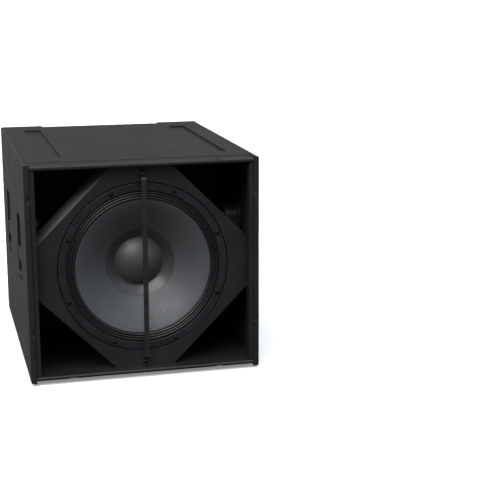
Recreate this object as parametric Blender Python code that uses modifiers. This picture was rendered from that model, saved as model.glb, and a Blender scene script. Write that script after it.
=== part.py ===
"""Cardioid subwoofer cabinet: an 18 inch driver faces forward and a 14 inch driver faces backward.

Metres, +Z up. The front faces -Y, +X is to the right as seen from the front, and the origin is on the
floor under the middle of the cabinet, which stands on two skids.
"""
import bpy
import bmesh
from math import acos, cos, pi, radians, sin, sqrt
from mathutils import Matrix, Vector

# ---- driving dimensions of the cabinet -----------------------------------------------------------
WIDTH = 0.635
HEIGHT = 0.594                # the box itself, without the skids
DEPTH = 0.806
SKID_PROUD = 0.007            # how far the skids stand out under the box
GAP = 0.0003                  # play kept between neighbouring pieces

SIDE_T = 0.016                # side panels
PANEL_T = 0.0165              # top and bottom panels
FRONT_BAFFLE_T = 0.024
REAR_BAFFLE_T = 0.018
DIVIDER_T = 0.018
PORT_WALL_T = 0.012
DUCT_T = 0.012

EDGE_R = 0.006                # rounding of the outer edges
RIM_R = 0.004                 # rounding of the front rim
CORNER_R = 0.008              # rounding of the rear corners

# ---- front ---------------------------------------------------------------------------------------
BAFFLE_SETBACK = 0.033        # from the front edge to the face of the front baffle
PORT_LEG = 0.221              # legs of the triangular corner ports
PORT_WALL_END = 0.145         # how far back the corner port walls reach
LIP_DEPTH = 0.052             # the lowered front strip of the top and bottom panels
TOP_LIP_DROP = 0.0035
BOTTOM_LIP_DROP = 0.0063
NOTCH_X = 0.203
NOTCH_SIZE = (0.020, 0.012, 0.0025)
CLIP_Z = ((0.131, 0.150), (0.493, 0.512))     # grille clip slots in the side panels' front edges
CLIP_REACH = (0.0100, 0.0040)                 # how far a slot reaches outwards and backwards
RAIL_W = 0.0125               # grille rails inside the rim
RAIL_SETBACK = 0.003

# ---- grille support bar --------------------------------------------------------------------------
BAR_W = 0.014
BAR_T = 0.003
BAR_SETBACK = 0.004
BAR_BEND_Z = 0.250            # half length of the straight run
BAR_FOOT_Z = (0.258, 0.278)   # the foot, from its bend to its end, above the centre
BAR_SCREW_Z = 0.268
BAR_SCREW = {"head_r": 0.0055, "head_h": 0.0025, "shank_r": 0.0025, "length": 0.018}
BAR_HOLE_R = 0.0028

# ---- top and underside ---------------------------------------------------------------------------
POCKET_X = (0.203, 0.254)     # stacking pockets
POCKET_Y = (0.117, 0.699)     # measured back from the front edge
POCKET_DEEP = 0.0075
SKID_PLAY = 0.003             # a skid is this much smaller than a pocket, all round
POLE_Y = 0.413                # pole mount, back from the front edge
POLE_R = 0.068
POLE_T = 0.003
POLE_BORE_R = 0.010
POLE_BOSS = (0.018, 0.031)    # radius, and depth below the face
POLE_BORE_DEEP = 0.026
POLE_STEPS = 24

# ---- hand grips ----------------------------------------------------------------------------------
GRIP_Y = (0.218, 0.590)       # centres, back from the front edge
GRIP_W = 0.108
GRIP_Z = (0.232, 0.428)       # bottom and top of the opening, above the box's underside
GRIP_BAR_Z = (0.285, 0.326)
GRIP_BAR_T = 0.018
GRIP_CORNER_R = 0.030
GRIP_DEEP = 0.058
GRIP_WALL = 0.0035
GRIP_FLANGE = 0.014

# ---- rear ----------------------------------------------------------------------------------------
REAR_RECESS = 0.026           # from the rear plane to the face of the rear baffle
PILLAR_X = 0.188              # inner edge of a pillar
LEDGE_X = 0.163               # inner edge of its grille ledge
LEDGE_DEEP = 0.012
LEDGE_SHORT = 0.005           # a ledge stops this far short of the top and of the underside
PORT_W = 0.184                # rear ports
PORT_H = 0.0785
DUCT_LENGTH = 0.200
DIVIDER_Y = 0.470             # front face of the divider, back from the front edge
CASTOR_X = (0.2165, 0.2795)
CASTOR_Z = (0.0385, 0.1175, 0.474, 0.5535)
CASTOR_HOLE = (0.0042, 0.016)

# ---- connector plate -----------------------------------------------------------------------------
PLATE_X = (0.192, 0.298)
PLATE_Z = (0.209, 0.383)
PLATE_T = 0.0025
PLATE_SETBACK = 0.0027
PLATE_CUTOUT = (0.080, 0.132)
SOCKET_X = 0.246
SOCKET_Z = (0.269, 0.322)
SOCKET_FLANGE = (0.026, 0.033)
SOCKET_BARREL_R = 0.0118
SOCKET_WELL_R = 0.0102
SOCKET_POST_R = 0.0046
SOCKET_DEEP = 0.034
SOCKET_WELL_DEEP = 0.020
LEAD_R = 0.0035
LEAD_HOLE_R = 0.0045

# ---- drivers, written for the 18 inch one and scaled for the 14 inch one --------------------------
FRONT_RING_R = 0.2324
REAR_RING_R = 0.1804
FRONT_CAP_R = 0.0673
REAR_CAP_R = 0.0590
RING_PROUD = 0.0015           # ring face in front of its baffle
RING_T = 0.011
GASKET_T = 0.001
RING_GAP = 0.0025             # open groove round the ring
RING_INNER_R = 0.2120
SEAT_Z = -0.0085              # seat of the surround in the basket
CUTOUT_R = 0.2105
CONE_EDGE = (0.1860, -0.006)  # radius and depth
CONE_NECK = (0.0523, -0.092)
CONE_T = 0.002
CONE_CURVE = 1.25
CAP_RISE = 0.030
CAP_T = 0.0015
CAP_SLICES = 5
ROLLS = 3
ROLL_H = 0.0045
SURROUND_T = 0.0016
SPIDER_R = (0.0535, 0.1120)
SPIDER_Z = -0.112
SPIDER_T = 0.0012
SPIDER_WAVE = 0.003
SPIDER_WAVES = 3
BASKET_WALL = [(0.2085, -RING_T), (0.2060, -0.030)]          # outside, from the ring to the ribs
BASKET_BACK = [(0.1200, -0.125), (0.0950, -0.128), (0.0950, -0.140), (0.0600, -0.140),
               (0.0600, -0.134), (0.0880, -0.134), (0.0950, -0.1165), (0.1165, -0.1165)]
BASKET_SHELF = [(0.2003, -0.028), (0.2003, SEAT_Z)]          # inside, up to the surround's seat
WINDOW_R = (0.105, 0.235)     # windows between the basket's ribs, and their half angles
WINDOW_ANGLE = (0.27, 0.30)
WINDOW_Z = (-0.118, -0.034)
COIL = [(0.0502, -0.086), (0.0516, -0.086), (0.0516, -0.139), (0.0530, -0.139), (0.0530, -0.155),
        (0.0502, -0.155)]     # former with the winding at its back end
GASKET_R = (0.2135, 0.2310)
TOP_PLATE = (0.0545, 0.1000, -0.1403, -0.1503)               # inner and outer radius, front and back
MAGNET = (0.0600, 0.1100, -0.1506, -0.1756)
YOKE = [(0.0150, -0.139), (0.0490, -0.139), (0.0490, -0.1760), (0.1050, -0.1760),
        (0.1050, -0.1880), (0.0150, -0.1880)]                # centre pole and back plate
LEAD_END = (0.096, 0.135)     # where a lead meets its basket: radius and depth
BOLT_COUNT = 8
BOLT_CIRCLE_R = 0.222
BOLT = {"head_r": 0.0055, "head_h": 0.005, "shank_r": 0.003, "length": 0.022}
BOLT_HOLE_R = 0.0033
FRONT_STEPS = 36              # sides of the round pieces of each driver
REAR_STEPS = 32
INNER_STEPS = 20

BLACK_PAINT = ((0.020, 0.021, 0.023), 0.55, 0.0)
BLACK_STEEL = ((0.018, 0.019, 0.020), 0.40, 0.6)
BLACK_PLASTIC = ((0.012, 0.012, 0.013), 0.45, 0.0)
PAPER = ((0.035, 0.035, 0.038), 0.60, 0.0)
RUBBER = ((0.010, 0.010, 0.011), 0.70, 0.0)
CLOTH = ((0.45, 0.30, 0.12), 0.85, 0.0)
COPPER = ((0.60, 0.26, 0.12), 0.35, 0.9)
FERRITE = ((0.06, 0.06, 0.065), 0.80, 0.1)
ZINC = ((0.55, 0.56, 0.58), 0.35, 0.9)

Z_LOW = SKID_PROUD            # underside of the box
Z_HIGH = Z_LOW + HEIGHT
Z_MID = Z_LOW + HEIGHT / 2
Y_FRONT = -DEPTH / 2
Y_REAR = DEPTH / 2
X_IN = WIDTH / 2 - SIDE_T     # inner face of a side panel
FLOOR = Z_LOW + PANEL_T       # inside of the box
CEILING = Z_HIGH - PANEL_T
REAR_FACE = Y_REAR - REAR_RECESS
REAR_SCALE = REAR_RING_R / FRONT_RING_R


# ---- scene ---------------------------------------------------------------------------------------
def clear_scene():
    for item in list(bpy.data.objects):
        bpy.data.objects.remove(item, do_unlink=True)


def new_collection(name):
    collection = bpy.data.collections.new(name)
    bpy.context.scene.collection.children.link(collection)
    return collection


def material(name, look):
    """A Principled material of its own for one sub-part."""
    colour, roughness, metallic = look
    made = bpy.data.materials.new(name + "_finish")
    made.use_nodes = True
    shader = made.node_tree.nodes["Principled BSDF"]
    shader.inputs["Base Color"].default_value = (*colour, 1.0)
    shader.inputs["Roughness"].default_value = roughness
    shader.inputs["Metallic"].default_value = metallic
    return made


def add(name, mesh, look=None, parent=None, place=None):
    """A named object: a part when it has a look, otherwise a cutter."""
    made = bpy.data.objects.new(name, mesh)
    if look is None:
        CUTTERS.objects.link(made)
        made.hide_render = True
        made.display_type = "WIRE"
    else:
        PARTS.objects.link(made)
        mesh.materials.clear()
        mesh.materials.append(material(name, look))
    if place is not None:
        made.matrix_world = place
    if parent is not None:
        made.parent = parent
    return made


def cut(target, cutter, operation="DIFFERENCE"):
    """Subtract (or join) one object from another with an exact Boolean."""
    step = target.modifiers.new(cutter.name, "BOOLEAN")
    step.operation = operation
    step.solver = "EXACT"
    step.object = cutter


# ---- shapes --------------------------------------------------------------------------------------
def block_mesh(name, low, high, rounded=(), segments=3):
    """A box between two corners. rounded holds (radius, test) pairs: an edge whose middle passes a test
    is rounded by that radius."""
    low, high = Vector(low), Vector(high)
    size = high - low
    bm = bmesh.new()
    bmesh.ops.create_cube(bm, size=1.0)
    bmesh.ops.scale(bm, vec=size, verts=bm.verts)
    bmesh.ops.translate(bm, vec=(low + high) / 2, verts=bm.verts)
    for radius, test in rounded:
        edges = [e for e in bm.edges if test((e.verts[0].co + e.verts[1].co) / 2)]
        bmesh.ops.bevel(bm, geom=edges, offset=radius, segments=segments, profile=0.5, affect="EDGES")
    mesh = bpy.data.meshes.new(name)
    bm.to_mesh(mesh)
    bm.free()
    return mesh


def block(name, low, high, look=None, rounded=(), segments=3):
    made = add(name, block_mesh(name, low, high, rounded, segments), look)
    if look is not None and rounded:
        made.data.shade_smooth()
        made.data.set_sharp_from_angle(angle=radians(40))
    return made


def cylinder(name, radius, low, high, place, segments=16, centres=((0.0, 0.0),)):
    """One cutter of upright cylinders between two heights, placed by a matrix."""
    bm = bmesh.new()
    for x, y in centres:
        spot = Matrix.Translation((x, y, (low + high) / 2))
        bmesh.ops.create_cone(bm, cap_ends=True, segments=segments, radius1=radius, radius2=radius,
                              depth=high - low, matrix=spot)
    mesh = bpy.data.meshes.new(name)
    bm.to_mesh(mesh)
    bm.free()
    return add(name, mesh, place=place)


def outline_mesh(name, loops, thickness):
    """Closed flat loops of (x, y) points, filled and extruded from z=0 to z=thickness."""
    curve = bpy.data.curves.new(name, "CURVE")
    curve.dimensions = "2D"
    curve.fill_mode = "BOTH"
    curve.extrude = thickness / 2
    for loop in loops:
        spline = curve.splines.new("POLY")
        spline.points.add(len(loop) - 1)
        for point, (x, y) in zip(spline.points, loop):
            point.co = (x, y, 0.0, 1.0)
        spline.use_cyclic_u = True
    holder = bpy.data.objects.new(name + "_outline", curve)
    bpy.context.scene.collection.objects.link(holder)
    bpy.context.view_layer.update()
    mesh = bpy.data.meshes.new_from_object(holder.evaluated_get(bpy.context.evaluated_depsgraph_get()))
    bpy.data.objects.remove(holder)
    bm = bmesh.new()
    bm.from_mesh(mesh)
    bmesh.ops.remove_doubles(bm, verts=bm.verts, dist=0.00001)
    bmesh.ops.translate(bm, vec=(0, 0, thickness / 2), verts=bm.verts)
    bmesh.ops.recalc_face_normals(bm, faces=bm.faces)
    bm.to_mesh(mesh)
    bm.free()
    mesh.name = name
    return mesh


def outline(name, loops, thickness, place, look=None):
    return add(name, outline_mesh(name, loops, thickness), look, place=place)


def turned(name, profile, look, steps, parent, closed=True):
    """A solid of revolution about the parent's Z axis. profile holds (radius, height) points that run
    outward along the top, down the outer side and back inward; an open one starts and ends on the axis."""
    mesh = bpy.data.meshes.new(name)
    count = len(profile)
    edges = [(i, i + 1) for i in range(count - 1)]
    if closed:
        edges.append((count - 1, 0))
    mesh.from_pydata([(r, 0.0, z) for r, z in profile], edges, [])
    made = add(name, mesh, look, parent)
    spin = made.modifiers.new("turn", "SCREW")
    spin.steps = steps
    spin.render_steps = steps
    spin.use_merge_vertices = True
    spin.merge_threshold = 0.00001
    return made


def rounded_rectangle(low, high, radius, segments=4):
    """Corner points of a rectangle with round corners, anticlockwise."""
    points = []
    centres = ((high[0] - radius, high[1] - radius), (low[0] + radius, high[1] - radius),
               (low[0] + radius, low[1] + radius), (high[0] - radius, low[1] + radius))
    for quarter, (x, y) in enumerate(centres):
        for step in range(segments + 1):
            angle = (quarter + step / segments) * pi / 2
            points.append((x + radius * cos(angle), y + radius * sin(angle)))
    return points


def upright_plate(y):
    """Places an outline drawn in (x, z) so that it stands upright, its thickness running back from y."""
    return Matrix(((1, 0, 0, 0), (0, 0, 1, y), (0, 1, 0, 0), (0, 0, 0, 1)))


def facing_side(x):
    """Places an outline drawn in (y, z) so that its thickness runs to the right from x."""
    return Matrix(((0, 0, 1, x), (1, 0, 0, 0), (0, 1, 0, 0), (0, 0, 0, 1)))


# ---- the box -------------------------------------------------------------------------------------
def grip_loop(centre, inset=0.0):
    """Outline of one hand opening in (y, z), made smaller by inset."""
    low = (centre - GRIP_W / 2 + inset, Z_LOW + GRIP_Z[0] + inset)
    high = (centre + GRIP_W / 2 - inset, Z_LOW + GRIP_Z[1] - inset)
    return rounded_rectangle(low, high, GRIP_CORNER_R - inset)


def side_panel(name, side):
    """Side panel with its outer edges rounded, two grip openings and two slots for grille clips."""
    outer = side * WIDTH / 2
    inner = side * X_IN
    near = 1e-5

    def on_outside(p):
        return abs(p.x - outer) < near and abs(p.y - REAR_FACE) > near

    def on_rim(p):
        return abs(p.x - inner) < near and abs(p.y - Y_FRONT) < near

    low = (min(outer, inner), Y_FRONT, Z_LOW)
    high = (max(outer, inner), REAR_FACE, Z_HIGH)
    panel = block(name, low, high, BLACK_PAINT, ((EDGE_R, on_outside), (RIM_R / 2, on_rim)))
    loops = [grip_loop(Y_FRONT + y) for y in GRIP_Y]
    cut(panel, outline(name + "_grips", loops, SIDE_T * 2, facing_side(min(outer, inner) - SIDE_T / 2)))
    across, back = CLIP_REACH
    xs = sorted((inner - side * 0.01, inner + side * across))
    for number, (low_z, high_z) in enumerate(CLIP_Z, 1):
        cut(panel, block("%s_clip_%d" % (name, number), (xs[0], Y_FRONT - 0.01, Z_LOW + low_z),
                         (xs[1], Y_FRONT + back, Z_LOW + high_z)))


def lip_cutters(name, face, drop, side):
    """The lowered front strip and the two clip notches of a top (side 1) or bottom (side -1) panel."""
    far = face + side * 0.01
    near = face - side * drop
    strip_low = (-WIDTH, Y_FRONT - 0.01, min(near, far))
    cutters = [block(name + "_strip", strip_low, (WIDTH, Y_FRONT + LIP_DEPTH, max(near, far)))]
    wide, long, deep = NOTCH_SIZE
    for x in (-NOTCH_X, NOTCH_X):
        bottom = near - side * deep
        low = (x - wide / 2, Y_FRONT - 0.01, min(bottom, far))
        high = (x + wide / 2, Y_FRONT + long, max(bottom, far))
        cutters.append(block("%s_notch_%s" % (name, "left" if x < 0 else "right"), low, high))
    return cutters


def panel_block(name, low_z, high_z, nose):
    """Top or bottom panel between the side panels, with a rounded front nose and rear edge."""
    near = 1e-5

    def on_nose(p):
        return abs(p.y - Y_FRONT) < near and abs(p.z - nose) < near

    low = (-X_IN + GAP, Y_FRONT, low_z)
    return block(name, low, (X_IN - GAP, REAR_FACE, high_z), BLACK_PAINT, ((RIM_R, on_nose),))


def top_panel():
    panel = panel_block("top_panel", CEILING, Z_HIGH, CEILING)
    for cutter in lip_cutters("top_lip", Z_HIGH, TOP_LIP_DROP, 1):
        cut(panel, cutter)
    for side, name in ((-1, "pocket_left"), (1, "pocket_right")):
        xs = sorted((side * POCKET_X[0], side * POCKET_X[1]))
        low = (xs[0], Y_FRONT + POCKET_Y[0], Z_HIGH - POCKET_DEEP)
        cut(panel, block(name, low, (xs[1], Y_FRONT + POCKET_Y[1], Z_HIGH + 0.01)))
    place = Matrix.Translation((0, Y_FRONT + POLE_Y, Z_HIGH))
    cut(panel, cylinder("pole_seat", POLE_R + GAP, -POLE_T - GAP, 0.01, place, POLE_STEPS))
    cut(panel, cylinder("pole_hole", POLE_BOSS[0] + GAP, -0.03, 0.01, place, POLE_STEPS))


def bottom_panel():
    panel = panel_block("bottom_panel", Z_LOW, FLOOR, FLOOR)
    for cutter in lip_cutters("bottom_lip", Z_LOW, BOTTOM_LIP_DROP, -1):
        cut(panel, cutter)


def skids():
    """Two runners under the box, which fit the stacking pockets of a cabinet below."""
    for side, name in ((-1, "skid_left"), (1, "skid_right")):
        xs = sorted((side * (POCKET_X[0] + SKID_PLAY), side * (POCKET_X[1] - SKID_PLAY)))
        low = (xs[0], Y_FRONT + POCKET_Y[0] + SKID_PLAY, 0.0)
        high = (xs[1], Y_FRONT + POCKET_Y[1] - SKID_PLAY, Z_LOW - GAP)
        block(name, low, high, BLACK_PLASTIC, ((0.002, lambda p: abs(p.z) < 1e-5),), 2)


def pole_mount():
    """Steel plate let into the top, with a blind threaded bore for a pole."""
    axis = bpy.data.objects.new("pole_axis", None)
    PARTS.objects.link(axis)
    axis.location = (0, Y_FRONT + POLE_Y, Z_HIGH)
    boss_r, boss_deep = POLE_BOSS
    profile = [(0, -POLE_BORE_DEEP), (POLE_BORE_R, -POLE_BORE_DEEP), (POLE_BORE_R, 0), (POLE_R, 0),
               (POLE_R, -POLE_T), (boss_r, -POLE_T), (boss_r, -boss_deep), (0, -boss_deep)]
    turned("pole_mount_plate", profile, BLACK_STEEL, POLE_STEPS, axis, closed=False)


# ---- front baffle and its ports ------------------------------------------------------------------
def chamfer_sum():
    """The corner chamfers lie where |x| + |z - middle| equals this."""
    return X_IN + (CEILING - Z_MID) - PORT_LEG


def front_baffle():
    """Octagonal board with the driver's hole and the stepped seat of its ring."""
    x = X_IN - GAP
    z = CEILING - GAP - Z_MID
    total = chamfer_sum()
    quarter = [(x, total - x), (total - z, z)]
    loop = []
    for sx, sz, order in ((1, 1, 1), (-1, 1, -1), (-1, -1, 1), (1, -1, -1)):
        loop += [(sx * px, Z_MID + sz * pz) for px, pz in quarter[::order]]
    place = upright_plate(Y_FRONT + BAFFLE_SETBACK)
    return outline("front_baffle", [loop], FRONT_BAFFLE_T, place, BLACK_PAINT)


def corner_port_walls():
    """Four boards that carry the chamfers back and part the corner ports from the chamber."""
    total = chamfer_sum()
    inside = total - PORT_WALL_T * sqrt(2)
    x = X_IN - GAP
    z = CEILING - GAP - Z_MID
    start = BAFFLE_SETBACK + FRONT_BAFFLE_T + GAP
    for sx, across in ((-1, "left"), (1, "right")):
        for sz, along in ((1, "upper"), (-1, "lower")):
            section = [(x, total - x), (total - z, z), (inside - z, z), (x, inside - x)]
            loop = [(sx * px, Z_MID + sz * pz) for px, pz in section]
            outline("corner_port_wall_%s_%s" % (along, across), [loop], PORT_WALL_END - start,
                    upright_plate(Y_FRONT + start), BLACK_PAINT)


def grille_rails():
    """Battens inside the front rim, which carry the grille clips."""
    for side, name in ((-1, "grille_rail_left"), (1, "grille_rail_right")):
        xs = sorted((side * (X_IN - GAP), side * (X_IN - RAIL_W)))
        low = (xs[0], Y_FRONT + RAIL_SETBACK, FLOOR + GAP)
        high = (xs[1], Y_FRONT + BAFFLE_SETBACK - GAP, CEILING - GAP)
        block(name, low, high, BLACK_PAINT)


def screw_profile(size):
    """Half outline of a screw that stands on the axis, the underside of its head just above 0."""
    head, shank = size["head_r"], size["shank_r"]
    top = GAP + size["head_h"]
    return [(0, top), (head * 0.8, top), (head, GAP + size["head_h"] * 0.7), (head, GAP), (shank, GAP),
            (shank, -size["length"]), (0, -size["length"])]


def support_bar():
    """Strap that stands in front of the driver and is screwed to the baffle at both ends."""
    front = BAR_SETBACK
    foot = BAFFLE_SETBACK - GAP
    slope = BAR_T * 0.8           # keeps the strap's thickness along the bend
    ahead = [(foot - BAR_T, BAR_FOOT_Z[1]), (foot - BAR_T, BAR_FOOT_Z[0]), (front, BAR_BEND_Z)]
    behind = [(foot, BAR_FOOT_Z[1]), (foot, BAR_FOOT_Z[0] - slope), (front + BAR_T, BAR_BEND_Z - slope)]
    ahead_below = [(y, -z) for y, z in ahead[::-1]]
    behind_below = [(y, -z) for y, z in behind]
    loop = [(Y_FRONT + y, Z_MID + z) for y, z in ahead + ahead_below + behind_below + behind[::-1]]
    bar = outline("grille_support_bar", [loop], BAR_W, facing_side(-BAR_W / 2), BLACK_STEEL)
    baffle = bpy.data.objects["front_baffle"]
    for side, name in ((1, "upper"), (-1, "lower")):
        axis = bpy.data.objects.new("support_screw_axis_" + name, None)
        PARTS.objects.link(axis)
        place = Matrix.Translation((0, Y_FRONT + foot - BAR_T, Z_MID + side * BAR_SCREW_Z))
        axis.matrix_world = place @ Matrix.Rotation(pi / 2, 4, "X")
        hole = cylinder("support_hole_" + name, BAR_HOLE_R, -0.03, 0.02, axis.matrix_world, 8)
        cut(bar, hole)
        cut(baffle, hole)
        turned("support_bar_screw_" + name, screw_profile(BAR_SCREW), ZINC, 8, axis, closed=False)


# ---- hand grips ----------------------------------------------------------------------------------
def hand_grip(name, side, centre):
    """Moulded cup behind a side opening, with a flange inside and a level bar to hold."""
    y = Y_FRONT + centre
    outer = WIDTH / 2 - 0.001
    bottom = outer - GRIP_DEEP
    shell = [grip_loop(y, GAP)]
    inner = [grip_loop(y, GRIP_WALL)]
    flange_low = (y - GRIP_W / 2 - GRIP_FLANGE, Z_LOW + GRIP_Z[0] - GRIP_FLANGE)
    flange_high = (y + GRIP_W / 2 + GRIP_FLANGE, Z_LOW + GRIP_Z[1] + GRIP_FLANGE)
    flange = [rounded_rectangle(flange_low, flange_high, GRIP_CORNER_R + GRIP_FLANGE)]

    def from_left(x, thick):
        """Start of a piece that lies between x and x + thick on this side."""
        return facing_side(x if side > 0 else -x - thick)

    cup = outline(name, shell, GRIP_DEEP, from_left(bottom, GRIP_DEEP), BLACK_PLASTIC)
    flange_x = X_IN - GAP - GRIP_WALL
    cut(cup, outline(name + "_flange", flange, GRIP_WALL, from_left(flange_x, GRIP_WALL)), "UNION")
    cut(cup, outline(name + "_well", inner, GRIP_DEEP, from_left(bottom + GRIP_WALL, GRIP_DEEP)))
    xs = sorted((side * (outer - 0.0005), side * (outer - GRIP_BAR_T)))
    low = (xs[0], y - GRIP_W / 2 + GRIP_WALL / 2, Z_LOW + GRIP_BAR_Z[0])
    high = (xs[1], y + GRIP_W / 2 - GRIP_WALL / 2, Z_LOW + GRIP_BAR_Z[1])

    def along_bar(p):
        return abs(p.y - y) < 1e-5 and abs(p.x - low[0]) + abs(p.x - high[0]) < GRIP_BAR_T + 1e-4

    cut(cup, block(name + "_bar", low, high, None, ((0.005, along_bar),), 2), "UNION")


# ---- rear ----------------------------------------------------------------------------------------
def rear_baffle():
    """Board set back between the pillars, notched at top and bottom for the ports."""
    x = X_IN - GAP
    half = PORT_W / 2
    top = CEILING - GAP
    port = CEILING - PORT_H
    upper = [(x, top), (half, top), (half, port), (-half, port), (-half, top), (-x, top)]
    lower = [(px, 2 * Z_MID - pz) for px, pz in upper[::-1]]
    place = upright_plate(REAR_FACE - REAR_BAFFLE_T)
    return outline("rear_baffle", [upper + lower], REAR_BAFFLE_T, place, BLACK_PAINT)


def rear_pillar(name, side):
    """Thick board down each rear corner: a ledge for the rear grille and holes for castor bolts."""
    xs = sorted((side * WIDTH / 2, side * LEDGE_X))
    outer = side * WIDTH / 2
    near = 1e-5

    def corner(p):
        return abs(p.x - outer) < near and abs(p.y - Y_REAR) < near

    def ends(p):
        level = abs(p.z - Z_HIGH) < 1e-4 or abs(p.z - Z_LOW) < 1e-4
        return level and (abs(p.y - Y_REAR) < 0.003 or abs(p.x - outer) < 0.003)

    low = (xs[0], REAR_FACE + GAP, Z_LOW)
    pillar = block(name, low, (xs[1], Y_REAR, Z_HIGH), BLACK_PAINT, ((CORNER_R, corner), (0.004, ends)))
    ledge = sorted((side * (LEDGE_X - 0.01), side * PILLAR_X))
    cut(pillar, block(name + "_ledge", (ledge[0], Y_REAR - LEDGE_DEEP, 0.0),
                      (ledge[1], Y_REAR + 0.01, Z_HIGH + 0.01)))
    for low_z, end in ((Z_HIGH - LEDGE_SHORT, "top"), (Z_LOW + LEDGE_SHORT - 0.02, "foot")):
        cut(pillar, block(name + "_ledge_" + end, (ledge[0], REAR_FACE - 0.01, low_z),
                          (ledge[1], Y_REAR + 0.01, low_z + 0.02)))
    centres = [(side * x, Z_LOW + z) for x in CASTOR_X for z in CASTOR_Z]
    place = upright_plate(Y_REAR)
    radius, deep = CASTOR_HOLE
    cut(pillar, cylinder(name + "_inserts", radius, -deep, 0.01, place, 8, centres))
    return pillar


def rear_port_duct(name, side):
    """Three boards, joined into a U, that carry a rear port into its chamber."""
    inside = CEILING if side > 0 else FLOOR
    half = PORT_W / 2
    shelf = inside - side * PORT_H
    outer = shelf - side * DUCT_T
    edge = inside - side * GAP
    loop = [(-half - DUCT_T, edge), (-half, edge), (-half, shelf), (half, shelf), (half, edge),
            (half + DUCT_T, edge), (half + DUCT_T, outer), (-half - DUCT_T, outer)]
    start = REAR_FACE - REAR_BAFFLE_T - GAP - DUCT_LENGTH
    outline(name, [loop], DUCT_LENGTH, upright_plate(start), BLACK_PAINT)


def divider():
    """Board between the front and rear chambers, with a hole for the front driver's lead."""
    low = (-X_IN + GAP, Y_FRONT + DIVIDER_Y, FLOOR + GAP)
    high = (X_IN - GAP, Y_FRONT + DIVIDER_Y + DIVIDER_T, CEILING - GAP)
    panel = block("divider_panel", low, high, BLACK_PAINT)
    place = upright_plate(Y_FRONT + DIVIDER_Y) @ Matrix.Translation((SOCKET_X, Z_LOW + SOCKET_Z[1], 0))
    cut(panel, cylinder("lead_hole", LEAD_HOLE_R, -0.01, DIVIDER_T + 0.01, place, 12))


# ---- connector plate -----------------------------------------------------------------------------
def connector_plate(pillar, baffle):
    """Plate let into the right-hand pillar, over a cutout through the pillar and the rear baffle."""
    back = Y_REAR - PLATE_SETBACK - PLATE_T
    low = (PLATE_X[0], back, Z_LOW + PLATE_Z[0])
    high = (PLATE_X[1], back + PLATE_T, Z_LOW + PLATE_Z[1])
    plate = block("connector_plate", low, high, BLACK_PLASTIC)
    play = Vector((GAP, GAP, GAP))
    seat_high = Vector((high[0], Y_REAR + 0.01, high[2])) + play
    cut(pillar, block("plate_seat", Vector(low) - play, seat_high))
    mid_x = (PLATE_X[0] + PLATE_X[1]) / 2
    mid_z = Z_LOW + (PLATE_Z[0] + PLATE_Z[1]) / 2
    half_x, half_z = PLATE_CUTOUT[0] / 2, PLATE_CUTOUT[1] / 2
    opening = block("plate_cutout", (mid_x - half_x, REAR_FACE - 0.03, mid_z - half_z),
                    (mid_x + half_x, Y_REAR - 0.001, mid_z + half_z))
    cut(pillar, opening)
    cut(baffle, opening)
    for z, name in zip(SOCKET_Z, ("link_socket", "input_socket")):
        place = upright_plate(back + PLATE_T) @ Matrix.Translation((SOCKET_X, Z_LOW + z, 0))
        cut(plate, cylinder(name + "_hole", SOCKET_BARREL_R + GAP, -0.01, 0.01, place, 16))
        socket(name, place)


def socket(name, place):
    """Four-pole socket: a flange, a barrel behind it and a round well with a centre post."""
    wide, tall = SOCKET_FLANGE
    flange_t = 0.002
    shape = rounded_rectangle((-wide / 2, -tall / 2), (wide / 2, tall / 2), 0.003, 2)
    body = outline(name, [shape], flange_t, place @ Matrix.Translation((0, 0, GAP)), BLACK_PLASTIC)
    cut(body, cylinder(name + "_barrel", SOCKET_BARREL_R, -SOCKET_DEEP, 0.001, place, 16), "UNION")
    ring = [[(radius * cos(k * pi / 8), radius * sin(k * pi / 8)) for k in range(16)]
            for radius in (SOCKET_WELL_R, SOCKET_POST_R)]
    bottom = place @ Matrix.Translation((0, 0, -SOCKET_WELL_DEEP))
    cut(body, outline(name + "_well", ring, SOCKET_WELL_DEEP + 0.01, bottom))


def smooth_route(points, spacing):
    """Points along a Catmull-Rom curve through the given ones, about spacing apart."""
    points = [Vector(p) for p in points]
    padded = [2 * points[0] - points[1]] + points + [2 * points[-1] - points[-2]]
    route = []
    for i in range(1, len(padded) - 2):
        a, b, c, d = padded[i - 1:i + 3]
        count = max(2, round((c - b).length / spacing))
        for k in range(count):
            t = k / count
            route.append(0.5 * (2 * b + (c - a) * t + (2 * a - 5 * b + 4 * c - d) * t ** 2
                                + (3 * b - a - 3 * c + d) * t ** 3))
    return route + [points[-1]]


def lead(name, points):
    """Round two-core lead through the given points."""
    route = smooth_route(points, 0.025)
    curve = bpy.data.curves.new(name, "CURVE")
    curve.dimensions = "3D"
    curve.bevel_depth = LEAD_R
    curve.bevel_resolution = 2
    curve.use_fill_caps = True
    spline = curve.splines.new("POLY")
    spline.points.add(len(route) - 1)
    for point, place in zip(spline.points, route):
        point.co = (*place, 1.0)
    curve.materials.append(material(name, RUBBER))
    PARTS.objects.link(bpy.data.objects.new(name, curve))


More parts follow.
